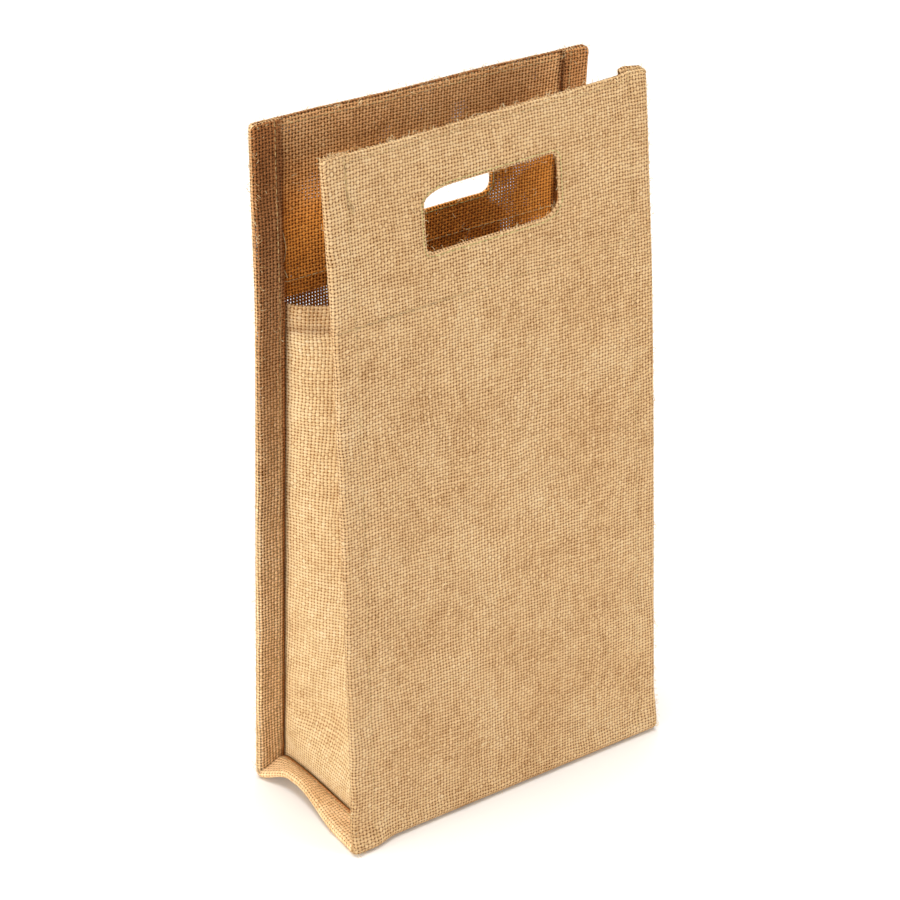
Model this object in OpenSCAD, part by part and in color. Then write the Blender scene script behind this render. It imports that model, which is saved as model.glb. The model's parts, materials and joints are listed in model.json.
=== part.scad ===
// Two-bottle gift bag in jute hessian, with a hand hole cut in each long side.
// One strip of cloth makes the front, the base and the back. A gusset is sewn
// into each end, and the strip's edges are folded round the gussets' edges.
// Millimetres, +Z up, +X to the right, the front wall on the -Y side.
// The origin is the middle of the base, on the surface that the bag stands on.

/* [Bag] */
// Width over the side folds
bag_w = 190; // [150:1:240]
// Depth of the base from front to back
bag_d = 90; // [75:1:120]
// Height of the front and back walls, along the cloth
wall_h = 360; // [300:1:440]
// Angle at which each wall leans in, in degrees
wall_lean = 3; // [2:0.1:3.6]
// Thickness of one layer of hessian
cloth_t = 1.2; // [0.9:0.1:1.6]

/* [Seams] */
// Width of the folded seam that stands out past each gusset
fold_w = 15; // [12:0.5:20]
// Distance of the seam's stitching from the outer edge of the fold
seam_stitch_in = 12; // [9:0.5:14]
// Clearance where the folded layers meet at the bottom corners
corner_gap = 0.4; // [0.2:0.1:0.8]

/* [Gussets] */
// Height of a gusset, along the cloth
gusset_h = 266; // [220:1:268]
// Depth of the hem turned in at the top of a gusset
hem_h = 13.5; // [10:0.5:20]
// Distance of the hem's stitching from the hem's lower edge
hem_stitch_up = 1.5; // [1:0.5:4]

/* [Flaps] */
// Height along the wall of the line where the upper part of a wall bends
bend_h = 268; // [266:1:280]
// Gap left at the bend, above and below its axis
bend_gap = 0.8; // [0.7:0.1:1.2]
// Distance of the facing's stitching above the bend
facing_stitch_up = 9; // [7:0.5:14]
// Distance of the top stitching below the top edge
top_stitch_down = 3.8; // [3:0.2:10]

/* [Hand hole] */
// Width of the hand hole
hand_w = 78; // [66:1:90]
// Height of the hand hole
hand_h = 30; // [26:1:34]
// Distance of the front hand hole below the top edge
hand_down = 28.5; // [22:0.5:34]
// How much lower the back hand hole is cut
hand_back_lower = 7.5; // [0:0.5:8]
// How far the front hand hole is cut to the left of the middle
hand_front_left = 1; // [0:0.5:3]
// How far the back hand hole is cut to the right of the middle
hand_back_right = 2; // [0:0.5:3]
// Radius of the front hole's upper left and lower right corners
hand_r_wide = 11; // [8:0.5:12]
// Radius of the front hole's other two corners
hand_r_tight = 3.5; // [2:0.5:6]
// Radius of all four corners of the back hole
hand_r_back = 5; // [3:0.5:8]
// Distance of the stitching from the edge of the hand hole
hand_stitch_out = 2; // [1.5:0.5:5]

/* [Thread] */
// Width of a row of stitching
thread_w = 1; // [0.6:0.1:1.4]
// Height of the stitching above the cloth
thread_rise = 0.4; // [0.2:0.1:0.6]

/* [Hidden] */

JUTE = "#d2aa79";
JUTE_LIGHT = "#e2bc87";
JUTE_DARK = "#a87c4b";
THREAD = "#d9cf9c";

half_w = bag_w / 2;
half_d = bag_d / 2;
layers_t = 3 * cloth_t;
gusset_x = half_w - fold_w;
flap_from = bend_h + bend_gap;
// The folded layers stop a little below the bend, which leaves the flap free to turn.
fold_to = min(gusset_h, bend_h - 2 * bend_gap);
// A gusset's web and its turned edges run this far into each other, as one cloth.
join = cloth_t / 2;
hand_z = wall_h - hand_down - hand_h / 2;
front_hand_at = [-hand_front_left, hand_z];
back_hand_at = [hand_back_right, hand_z - hand_back_lower];
arc_steps = 8;
LEFT = -1;
RIGHT = 1;
front_radii = [hand_r_tight, hand_r_wide, hand_r_tight, hand_r_wide];
back_radii = [hand_r_back, hand_r_back, hand_r_back, hand_r_back];

// Point of the front wall's section: up is along the cloth, deep is into the bag.
function wall_pt(up, deep) = [
  -half_d + up * sin(wall_lean) + deep * cos(wall_lean),
  up * cos(wall_lean) - deep * sin(wall_lean)
];

// Distance along the wall at which a layer that lies this deep reaches height z.
function up_at(z, deep) = (z + deep * sin(wall_lean)) / cos(wall_lean);

// Outline of a rectangle with a radius for each corner, from the upper right one round.
function round_rect(w, h, radii) = [
  for (i = [0:3], k = [0:arc_steps])
    let (
      side_x = (i == 0 || i == 3) ? 1 : -1,
      side_y = (i < 2) ? 1 : -1,
      a = i * 90 + k * 90 / arc_steps
    )
    [side_x * (w / 2 - radii[i]) + radii[i] * cos(a),
     side_y * (h / 2 - radii[i]) + radii[i] * sin(a)]
];

// Places its children, drawn upright on y = 0, on the outer face of the front wall.
module on_wall() {
  translate([0, -half_d, 0]) rotate([-wall_lean, 0, 0]) children();
}

// Turns a piece of the front wall into the matching piece of the back wall.
module at_back() {
  mirror([0, 1, 0]) children();
}

// Block on the front wall, from one corner to the other: x, depth into the bag, height.
module wall_block(from, to) {
  on_wall() translate(from) cube(to - from);
}

// The same, between two distances from the bag's middle on the left or right side.
module side_block(side, near, far, deep_from, deep_to, up_from, up_to) {
  x_from = min(side * near, side * far);
  x_to = max(side * near, side * far);
  wall_block([x_from, deep_from, up_from], [x_to, deep_to, up_to]);
}

// Extrudes a front-to-back section across the bag, between two places on the X axis.
module across(x_from, x_to) {
  translate([x_from, 0, 0]) rotate([90, 0, 90]) linear_extrude(x_to - x_from) children();
}

// Lower part of a wall, cut level where it stands on the base cloth.
module wall_panel() {
  top = bend_h - bend_gap;
  color(JUTE) across(-half_w, half_w) polygon([
    wall_pt(up_at(cloth_t, 0), 0),
    wall_pt(up_at(cloth_t, cloth_t), cloth_t),
    wall_pt(top, cloth_t),
    wall_pt(top, 0)
  ]);
}

module base_panel() {
  color(JUTE) translate([-half_w, -half_d, 0]) cube([bag_w, bag_d, cloth_t]);
}

// Section of a gusset between two heights along the wall, from the front to the back.
module gusset_section(up_from, up_to) {
  low = wall_pt(up_from, cloth_t + join);
  high = wall_pt(up_to, cloth_t + join);
  polygon([low, high, [-high[0], high[1]], [-low[0], low[1]]]);
}

// The gusset's edge that is sewn into a wall's seam.
module gusset_wall_edge(side) {
  side_block(side, gusset_x - join, half_w - cloth_t, cloth_t, 2 * cloth_t,
             up_at(layers_t, 2 * cloth_t) + corner_gap, fold_to - corner_gap);
}

// Gusset web with its three edges turned out into the seams.
module gusset(side) {
  edge_y = half_d - cloth_t - corner_gap;
  x_near = side * (gusset_x - cloth_t);
  x_join = side * (gusset_x - join);
  x_edge = side * (half_w - cloth_t);
  color(JUTE_LIGHT) {
    across(min(x_near, side * gusset_x), max(x_near, side * gusset_x))
      gusset_section(up_at(cloth_t + join, cloth_t + join), gusset_h);
    gusset_wall_edge(side);
    at_back() gusset_wall_edge(side);
    translate([min(x_join, x_edge), -edge_y, cloth_t])
      cube([abs(x_edge - x_join), 2 * edge_y, cloth_t]);
  }
}

// Hem turned to the inner side at the gusset's top.
module gusset_hem(side) {
  x_near = side * (gusset_x - 2 * cloth_t);
  x_far = side * (gusset_x - cloth_t);
  color(JUTE_LIGHT) across(min(x_near, x_far), max(x_near, x_far))
    gusset_section(gusset_h - hem_h, gusset_h);
}

module gusset_hem_thread(side) {
  x_near = side * gusset_x;
  x_far = side * (gusset_x + thread_rise);
  up = gusset_h - hem_h + hem_stitch_up;
  inset = layers_t + thread_rise;
  low = wall_pt(up, inset);
  high = wall_pt(up + thread_w, inset);
  color(THREAD) across(min(x_near, x_far), max(x_near, x_far))
    polygon([low, high, [-high[0], high[1]], [-low[0], low[1]]]);
}

// Wall edge folded round the layer beneath it: a turned edge and an inner flap.
module wall_fold(side, up_from, up_to) {
  color(JUTE_DARK) {
    side_block(side, gusset_x, half_w, 2 * cloth_t, layers_t, up_from, up_to);
    side_block(side, half_w - cloth_t, half_w, cloth_t, layers_t, up_from, up_to);
  }
}

module lower_fold(side) {
  wall_fold(side, up_at(layers_t, layers_t) + corner_gap, fold_to);
}

module base_fold(side) {
  edge_y = half_d - cloth_t - corner_gap;
  x_in = side * gusset_x;
  x_turn = side * (half_w - cloth_t);
  x_out = side * half_w;
  color(JUTE_DARK) {
    translate([min(x_in, x_out), -edge_y, 2 * cloth_t]) cube([fold_w, 2 * edge_y, cloth_t]);
    translate([min(x_turn, x_out), -edge_y, cloth_t]) cube([cloth_t, 2 * edge_y, 2 * cloth_t]);
  }
}

// Stitching along a seam, which shows on the outer face and on the inner one.
module seam_thread(side, up_from, up_to) {
  line = half_w - seam_stitch_in;
  color(THREAD) for (deep = [-thread_rise, layers_t])
    side_block(side, line - thread_w / 2, line + thread_w / 2,
               deep, deep + thread_rise, up_from, up_to);
}

module lower_thread(side) {
  seam_thread(side, up_at(layers_t, layers_t) + 2 * corner_gap, fold_to - bend_gap);
}

module base_thread(side) {
  edge_y = half_d - layers_t - thread_rise - corner_gap;
  line = side * (half_w - seam_stitch_in);
  color(THREAD) translate([line - thread_w / 2, -edge_y, layers_t])
    cube([thread_w, 2 * edge_y, thread_rise]);
}

// Hand hole through every layer, on the wall.
module hand_hole(at, radii) {
  on_wall() translate([at[0], layers_t, at[1]]) rotate([90, 0, 0])
    linear_extrude(2 * layers_t) polygon(round_rect(hand_w, hand_h, radii));
}

// Outer cloth of the upper part of a wall.
module flap(at, radii) {
  color(JUTE) difference() {
    wall_block([-half_w, 0, flap_from], [half_w, cloth_t, wall_h]);
    hand_hole(at, radii);
  }
}

// Top of the wall turned down inside the bag, which backs the whole flap.
module facing(at, radii) {
  edge = half_w - cloth_t;
  color(JUTE_DARK) difference() {
    wall_block([-edge, cloth_t, flap_from], [edge, 2 * cloth_t, wall_h]);
    hand_hole(at, radii);
  }
}

module flap_fold(side) {
  wall_fold(side, flap_from, wall_h);
}

module flap_thread(side) {
  seam_thread(side, flap_from + 2 * bend_gap, wall_h - top_stitch_down - thread_w);
}

// Row of stitching straight across the flap, between the side seams' stitching.
module cross_thread(up) {
  reach = half_w - seam_stitch_in - thread_w;
  inner_reach = gusset_x - thread_rise;
  color(THREAD) {
    wall_block([-reach, -thread_rise, up - thread_w / 2], [reach, 0, up + thread_w / 2]);
    wall_block([-inner_reach, 2 * cloth_t, up - thread_w / 2],
               [inner_reach, 2 * cloth_t + thread_rise, up + thread_w / 2]);
  }
}

// Stitching round the hand hole, on the outer face and on the inner one.
module hand_thread(at, radii) {
  inner = hand_stitch_out - thread_w / 2;
  outer = hand_stitch_out + thread_w / 2;
  color(THREAD) for (deep = [0, 2 * cloth_t + thread_rise])
    on_wall() translate([at[0], deep, at[1]]) rotate([90, 0, 0]) linear_extrude(thread_rise)
      difference() {
        polygon(round_rect(hand_w + 2 * outer, hand_h + 2 * outer, [for (r = radii) r + outer]));
        polygon(round_rect(hand_w + 2 * inner, hand_h + 2 * inner, [for (r = radii) r + inner]));
      }
}

wall_panel();  // front_panel
at_back() wall_panel();  // back_panel
base_panel();
gusset(LEFT);  // left_gusset
gusset(RIGHT);  // right_gusset
gusset_hem(LEFT);  // left_gusset_hem
gusset_hem(RIGHT);  // right_gusset_hem
lower_fold(LEFT);  // front_left_fold
lower_fold(RIGHT);  // front_right_fold
at_back() lower_fold(LEFT);  // back_left_fold
at_back() lower_fold(RIGHT);  // back_right_fold
base_fold(LEFT);  // base_left_fold
base_fold(RIGHT);  // base_right_fold
lower_thread(LEFT);  // front_left_thread
lower_thread(RIGHT);  // front_right_thread
at_back() lower_thread(LEFT);  // back_left_thread
at_back() lower_thread(RIGHT);  // back_right_thread
base_thread(LEFT);  // base_left_thread
base_thread(RIGHT);  // base_right_thread
gusset_hem_thread(LEFT);  // left_hem_thread
gusset_hem_thread(RIGHT);  // right_hem_thread
flap(front_hand_at, front_radii);  // front_flap
facing(front_hand_at, front_radii);  // front_facing
flap_fold(LEFT);  // front_flap_left_fold
flap_fold(RIGHT);  // front_flap_right_fold
flap_thread(LEFT);  // front_flap_left_thread
flap_thread(RIGHT);  // front_flap_right_thread
cross_thread(wall_h - top_stitch_down);  // front_top_thread
hand_thread(front_hand_at, front_radii);  // front_hand_thread
cross_thread(bend_h + facing_stitch_up);  // front_facing_thread
at_back() flap(back_hand_at, back_radii);  // back_flap
at_back() facing(back_hand_at, back_radii);  // back_facing
at_back() flap_fold(LEFT);  // back_flap_left_fold
at_back() flap_fold(RIGHT);  // back_flap_right_fold
at_back() flap_thread(LEFT);  // back_flap_left_thread
at_back() flap_thread(RIGHT);  // back_flap_right_thread
at_back() cross_thread(wall_h - top_stitch_down);  // back_top_thread
at_back() hand_thread(back_hand_at, back_radii);  // back_hand_thread
at_back() cross_thread(bend_h + facing_stitch_up);  // back_facing_thread
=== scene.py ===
"""Looks of a two-bottle gift bag in jute hessian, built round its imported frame.

One strip of hessian makes the front, the base and the back. Its top ends turn over and
hang inside as facings, and its sides fold round the edges of two gussets. Every sheet is
made as the real one lies: rolled at the top, C-folded at the sides, sewn in rows.
Lengths are in metres, in the frame's own axes: +X right, -Y front, +Z up.
"""
import json
import logging
import math
from dataclasses import dataclass
from enum import Enum

import bpy
import numpy as np
from bpy.types import ID, Material, Mesh, Node, NodeSocket, NodeTree, Object
from mathutils import Matrix, Vector


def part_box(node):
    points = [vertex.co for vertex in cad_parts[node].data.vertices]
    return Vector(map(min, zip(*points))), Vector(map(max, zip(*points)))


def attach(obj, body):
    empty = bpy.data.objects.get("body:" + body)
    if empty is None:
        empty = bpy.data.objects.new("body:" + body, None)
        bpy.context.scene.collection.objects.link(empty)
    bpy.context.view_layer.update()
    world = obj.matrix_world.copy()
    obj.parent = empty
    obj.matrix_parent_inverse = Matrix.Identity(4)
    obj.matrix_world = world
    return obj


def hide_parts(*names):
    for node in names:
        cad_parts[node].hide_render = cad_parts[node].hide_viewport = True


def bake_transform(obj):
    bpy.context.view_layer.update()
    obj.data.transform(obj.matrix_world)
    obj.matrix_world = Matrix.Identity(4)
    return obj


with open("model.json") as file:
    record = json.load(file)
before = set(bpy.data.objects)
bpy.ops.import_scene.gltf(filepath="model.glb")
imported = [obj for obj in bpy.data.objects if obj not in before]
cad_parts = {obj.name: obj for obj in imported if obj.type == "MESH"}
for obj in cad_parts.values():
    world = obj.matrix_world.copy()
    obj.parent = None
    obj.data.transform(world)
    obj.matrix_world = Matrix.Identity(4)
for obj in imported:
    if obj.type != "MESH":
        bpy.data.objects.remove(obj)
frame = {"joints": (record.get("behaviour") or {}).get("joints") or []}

MM = 0.001
LOG = logging.getLogger("gift_bag")

# The short node names that the woven cloth and the stitch trees use most.
MATH = "ShaderNodeMath"
MIX = "ShaderNodeMix"
NOISE = "ShaderNodeTexNoise"
VECTOR = "ShaderNodeCombineXYZ"
VECTOR_MATH = "ShaderNodeVectorMath"

EDGE_SHORT = 2.5 * MM  # how far a gusset's raw edge ends short of the fold that it is sewn into
STITCH_OUT = 2.5 * MM  # from a hand hole's edge to the outside of its ring of thread in the frame
GROOVE = 1.3 * MM  # half the width of the groove that a row of stitches pulls into the cloth


class Wall(Enum):
    """The two long walls, by the sign of their Y."""

    FRONT = -1
    BACK = 1


class End(Enum):
    """The two ends of the bag, by the sign of their X."""

    LEFT = -1
    RIGHT = 1


class Cloth(Enum):
    """The cloths that are not walls, by their slot."""

    BASE = "jute_strip"
    GUSSET = "jute_gusset"


class Thread(Enum):
    """The two sewing threads, by their slot."""

    SEAM = "seam_thread"
    HOLE = "hand_hole_thread"


def linear(code: str) -> tuple[float, float, float, float]:
    """Turns an sRGB hex colour into linear RGBA.

    Args:
        code: The colour as six hex digits after a hash.

    Returns:
        Linear red, green, blue and an alpha of 1.
    """
    parts = [int(code[i : i + 2], 16) / 255 for i in (1, 3, 5)]
    flat = [c / 12.92 if c <= 0.04045 else ((c + 0.055) / 1.055) ** 2.4 for c in parts]
    return (flat[0], flat[1], flat[2], 1.0)


def smooth(value: np.ndarray | float, low: float, high: float) -> np.ndarray:
    """Runs smoothly from 0 at low to 1 at high, either way round."""
    t = np.clip((np.asarray(value, float) - low) / (high - low), 0.0, 1.0)
    return t * t * (3 - 2 * t)


def node(tree: NodeTree, kind: str, wired: dict | None = None, **settings: object) -> Node:
    """Adds a node to a tree, sets it and feeds its sockets.

    Args:
        tree: The node tree that gets the node.
        kind: The node's type name.
        wired: For each input socket, by name or index, an output socket or a plain value.
        settings: Attributes of the node itself.

    Returns:
        The new node.
    """
    made = tree.nodes.new(kind)
    for name, value in settings.items():
        setattr(made, name, value)
    for key, value in (wired or {}).items():
        if isinstance(value, NodeSocket):
            tree.links.new(value, made.inputs[key])
        else:
            made.inputs[key].default_value = value
    return made


def bare_material(name: str) -> tuple[Material, NodeTree]:
    """Makes a material whose node tree is still empty."""
    material = bpy.data.materials.new(name)
    material.use_nodes = True
    material.node_tree.nodes.clear()
    return material, material.node_tree


def in_scene(name: str, data: ID) -> Object:
    """Makes an object of some data and puts it in the scene."""
    made = bpy.data.objects.new(name, data)
    bpy.context.scene.collection.objects.link(made)
    return made


def plain_mesh(piece: Object) -> Mesh:
    """A piece's shape as plain mesh, its modifiers worked in, smooth and named for the piece."""
    seen = piece.evaluated_get(bpy.context.evaluated_depsgraph_get())
    mesh = bpy.data.meshes.new_from_object(seen)
    mesh.name = piece.name
    mesh.shade_smooth()
    return mesh


def read(items: bpy.types.bpy_prop_collection, field: str, width: int, kind: type = float) -> np.ndarray:
    """Reads one field of every element of a mesh, an element to a row."""
    values = np.zeros(len(items) * width, kind)
    items.foreach_get(field, values)
    return values.reshape(-1, width)


def unit(directions: np.ndarray) -> np.ndarray:
    """Makes directions, along the last axis, one long."""
    return directions / np.linalg.norm(directions, axis=-1, keepdims=True)


@dataclass(frozen=True)
class BagSizes:
    """Sizes of the bag that the frame gives, in metres. Heights run along the cloth."""

    half_w: float
    half_d: float
    wall_h: float
    bend_up: float
    gusset_up: float
    fold_w: float
    seam_x: float
    hem_h: float
    top_row_up: float
    facing_row_up: float
    hole_w: float
    hole_h: float
    hole_at: dict[Wall, tuple[float, float]]

    @classmethod
    def from_frame(cls) -> "BagSizes":
        """Reads the sizes from the frame's nodes and joints."""
        hinge = Vector(frame["joints"][0]["pos_m"])
        base_low, base_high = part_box("base_panel")
        half_d = base_high.y
        tilt = math.cos(math.atan2(half_d - abs(hinge.y), hinge.z))
        fold_low, fold_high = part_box("front_right_fold")
        seam_low, seam_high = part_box("base_right_thread")
        hem_low, hem_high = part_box("left_gusset_hem")
        rings = {wall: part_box(f"{wall.name.lower()}_hand_thread") for wall in Wall}
        ring_low, ring_high = rings[Wall.FRONT]
        row_middle = {name: sum(p.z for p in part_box(name)) / 2 / tilt
                      for name in ("front_top_thread", "front_facing_thread")}
        return cls(
            half_w=base_high.x,
            half_d=half_d,
            wall_h=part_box("front_flap")[1].z / tilt,
            bend_up=hinge.z / tilt,
            gusset_up=hem_high.z / tilt,
            fold_w=fold_high.x - fold_low.x,
            seam_x=(seam_low.x + seam_high.x) / 2,
            hem_h=hem_high.z - hem_low.z,
            top_row_up=row_middle["front_top_thread"],
            facing_row_up=row_middle["front_facing_thread"],
            hole_w=ring_high.x - ring_low.x - 2 * STITCH_OUT,
            hole_h=(ring_high.z - ring_low.z) / tilt - 2 * STITCH_OUT,
            hole_at={w: ((a.x + b.x) / 2, (a.z + b.z) / 2 / tilt) for w, (a, b) in rings.items()},
        )


@dataclass(frozen=True)
class ClothStack:
    """How thick the hessian is and how its layers lie on each other, in metres."""

    layer: float = 0.28 * MM
    facing_at: float = 2.3 * MM
    fold_at: float = 4.8 * MM
    gusset_at: float = 2.7 * MM
    gusset_turn: float = 1.0 * MM
    base_turn: float = 5.0 * MM


@dataclass(frozen=True)
class Settling:
    """How the empty bag's base arches up off the surface between its corners."""

    crease_lift: float = 5.6 * MM
    edge_lift: float = 6.5 * MM
    edge_pull: float = 5.0 * MM
    corner_flare: float = 2.0 * MM
    ear: float = 3.6 * MM
    fade_up: float = 30 * MM

    def apply(self, points: np.ndarray, sizes: BagSizes) -> np.ndarray:
        """Lifts and pulls the bag's foot as the stiff side seams do.

        Args:
            points: Points of the bag, one to a row.
            sizes: The bag's sizes.

        Returns:
            The same points, settled.
        """
        out = points.copy()
        x, y, z = np.abs(points[:, 0]), points[:, 1], points[:, 2]
        crease_x = sizes.half_w - sizes.fold_w
        ridge = smooth(x, crease_x - 30 * MM, crease_x)
        ridge = ridge * (1 - smooth(x, crease_x + 2 * MM, sizes.half_w - 2 * MM))
        rim = smooth(x, crease_x, sizes.half_w - 2 * MM)
        back_part = smooth(y, -45 * MM, 28 * MM) - 0.45 * smooth(y, 34 * MM, 45 * MM)
        arch = smooth(y, -30 * MM, 16 * MM) * (1 - smooth(y, 22 * MM, 43 * MM))
        flare = 1 - smooth(y, -44 * MM, -26 * MM)
        near = 1 - smooth(z, 3 * MM, self.fade_up)
        out[:, 2] += near * (self.crease_lift * back_part * ridge + self.edge_lift * arch * rim)
        pull = near * rim * (self.edge_pull * arch - self.corner_flare * flare)
        out[:, 0] -= np.sign(points[:, 0]) * pull
        low = 1 - smooth(z, 0, 16 * MM)
        across = smooth(-points[:, 0], sizes.half_w - 26 * MM, sizes.half_w - 9 * MM)
        out[:, 1] -= self.ear * low * across * (1 - smooth(y, 3 * MM - sizes.half_d, 16 * MM - sizes.half_d))
        return out


@dataclass(frozen=True)
class Ripples:
    """A wall's slow waves, and how far its stitching pulls the cloth in: depths are in mm."""

    front_phase: float = 0.9
    back_phase: float = 2.3
    broad: float = 0.55
    broad_across: float = 143 * MM
    broad_up: float = 201 * MM
    slant: float = 0.35
    slant_across: float = 89 * MM
    slant_up: float = 121 * MM
    seam: float = 0.40
    row: float = 0.30
    foot: float = 0.9
    pucker: float = 1.5


@dataclass(frozen=True)
class WallShape:
    """How one long wall stands: how far its two edges lean in, and where it bends."""

    wall: Wall
    sizes: BagSizes
    settling: Settling
    lean_left: float
    lean_right: float
    kink_left: float
    kink_right: float
    top_shift: float
    right_bow: float = 0.0
    bunched: tuple[float, float] = (0.6 * MM, 0.6 * MM)

    def wave(self, x: np.ndarray, up: np.ndarray) -> np.ndarray:
        """Depth of the cloth's slow waves and of the grooves that the stitching pulls in."""
        size, ripple = self.sizes, Ripples()
        turn = 2 * math.pi
        phase = ripple.front_phase if self.wall is Wall.FRONT else ripple.back_phase
        broad = np.sin(turn * x / ripple.broad_across + phase)
        broad = broad * np.sin(turn * up / ripple.broad_up + 1.7 * phase)
        slant = np.sin(turn * (x + 0.5 * up) / ripple.slant_across + phase)
        slant = slant * np.cos(turn * up / ripple.slant_up)
        middle = 1 - 0.75 * smooth(np.abs(x), size.half_w - 30 * MM, size.half_w - 12 * MM)
        groove = ripple.seam * np.exp(-(((np.abs(x) - size.seam_x) / GROOVE) ** 2))
        for row in (size.facing_row_up, size.top_row_up):
            groove += ripple.row * np.exp(-(((up - row) / GROOVE) ** 2))
        foot = ripple.foot * np.exp(-(((up - 12 * MM) / (5 * MM)) ** 2)) * (np.abs(x) < size.seam_x)
        pucker = ripple.pucker * np.exp(-(((np.abs(x) - size.seam_x) / (1.4 * MM)) ** 2)
                                        - ((up - 8 * MM) / (5 * MM)) ** 2)
        slow = (ripple.broad * broad + ripple.slant * slant) * middle * smooth(up, 0, 60 * MM)
        return (slow + groove + foot + pucker) * MM

    def place(self, x: np.ndarray, depth: np.ndarray, up: np.ndarray, settle: bool = True) -> np.ndarray:
        """Puts points of the flat wall where they stand.

        Args:
            x: Distance across the wall from its middle.
            depth: Distance into the bag from the wall's outer face.
            up: Height along the cloth.
            settle: True to let the bag's foot settle too.

        Returns:
            The points in the frame, one to a row.
        """
        x, depth, up = (np.asarray(v, float).ravel() for v in (x, depth, up))
        size = self.sizes
        across = (x + size.half_w) / (2 * size.half_w)
        lean = self.lean_left + (self.lean_right - self.lean_left) * across
        kink = self.kink_left + (self.kink_right - self.kink_left) * across
        over = (up - size.bend_up) / (size.wall_h - size.bend_up)
        soft = 0.12
        ramp = (over + np.sqrt(over**2 + soft**2)) / 2
        ramp_slope = (1 + over / np.sqrt(over**2 + soft**2)) / 2
        slope = lean / size.wall_h + kink * ramp_slope / (size.wall_h - size.bend_up)
        angle = np.arcsin(slope) * smooth(up, 0, 25 * MM)
        inward = lean * up / size.wall_h + kink * ramp
        low_slope = lean / size.wall_h
        high = np.maximum(up - size.bend_up, 0)
        z = up - up * low_slope**2 / 2 - high * (slope**2 - low_slope**2) / 2
        depth = depth + self.wave(x, up) * smooth(up, 4 * MM, 20 * MM)
        sign = self.wall.value
        bow = self.right_bow * np.sin(math.pi * np.clip(up / size.wall_h, 0, 1)) * smooth(across, 0.6, 1)
        points = np.stack(
            [
                x + self.top_shift * up / size.wall_h + bow,
                sign * (size.half_d - inward - depth * np.cos(angle)),
                z - depth * np.sin(angle),
            ],
            axis=1,
        )
        return self.settling.apply(points, size) if settle else points


class MeshMaker:
    """Collects points, faces and their places on the flat cloth, then makes the object."""

    sharp_from = math.radians(62)

    def __init__(self) -> None:
        """Starts with nothing."""
        self.points: list[np.ndarray] = []
        self.count = 0
        self.faces: list[tuple[int, ...]] = []
        self.flat: list[tuple[tuple[float, float], ...]] = []

    def add(self, points: np.ndarray) -> np.ndarray:
        """Adds points and returns their numbers."""
        self.points.append(points)
        numbers = np.arange(self.count, self.count + len(points))
        self.count += len(points)
        return numbers

    def band(self, first: np.ndarray, second: np.ndarray, flat_first: np.ndarray, flat_second: np.ndarray,
             closed: bool, turned: bool = False) -> None:
        """Joins two rows of points with faces.

        Args:
            first: Numbers of the first row's points.
            second: Numbers of the second row's points.
            flat_first: Places of the first row on the flat cloth.
            flat_second: Places of the second row on the flat cloth.
            closed: True if the rows are rings.
            turned: True to face the other way.
        """
        total = len(first) if closed else len(first) - 1
        for k in range(total):
            n = (k + 1) % len(first)
            face = (first[k], first[n], second[n], second[k])
            flat = (flat_first[k], flat_first[n], flat_second[n], flat_second[k])
            self.faces.append(tuple(int(v) for v in (face[::-1] if turned else face)))
            self.flat.append(tuple(tuple(p) for p in (flat[::-1] if turned else flat)))

    def run(self, rows: list[tuple[np.ndarray, np.ndarray]], turned: bool, closed: bool = False) -> None:
        """Joins row after row, each given as its points' numbers and their flat places."""
        for (first, flat_first), (second, flat_second) in zip(rows, rows[1:]):
            self.band(first, second, flat_first, flat_second, closed, turned)

    def make(self, name: str, layer: float) -> Object:
        """Makes the cloth as a closed piece with its own thickness.

        Args:
            name: The piece's name.
            layer: The cloth's thickness, which goes in behind its right side.

        Returns:
            The new object, in the scene.
        """
        mesh = bpy.data.meshes.new(name)
        mesh.from_pydata(np.concatenate(self.points).tolist(), [], self.faces)
        layout = mesh.uv_layers.new(name="Cloth")
        layout.data.foreach_set("uv", [v for face in self.flat for spot in face for v in spot])
        mesh.update()
        piece = in_scene(name, mesh)
        shell = piece.modifiers.new("Layer", "SOLIDIFY")
        shell.thickness = layer
        shell.offset = -1
        shell.use_rim = True
        solid = plain_mesh(piece)
        solid.set_sharp_from_angle(angle=self.sharp_from)
        piece.modifiers.clear()
        piece.data = solid
        return piece


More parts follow.
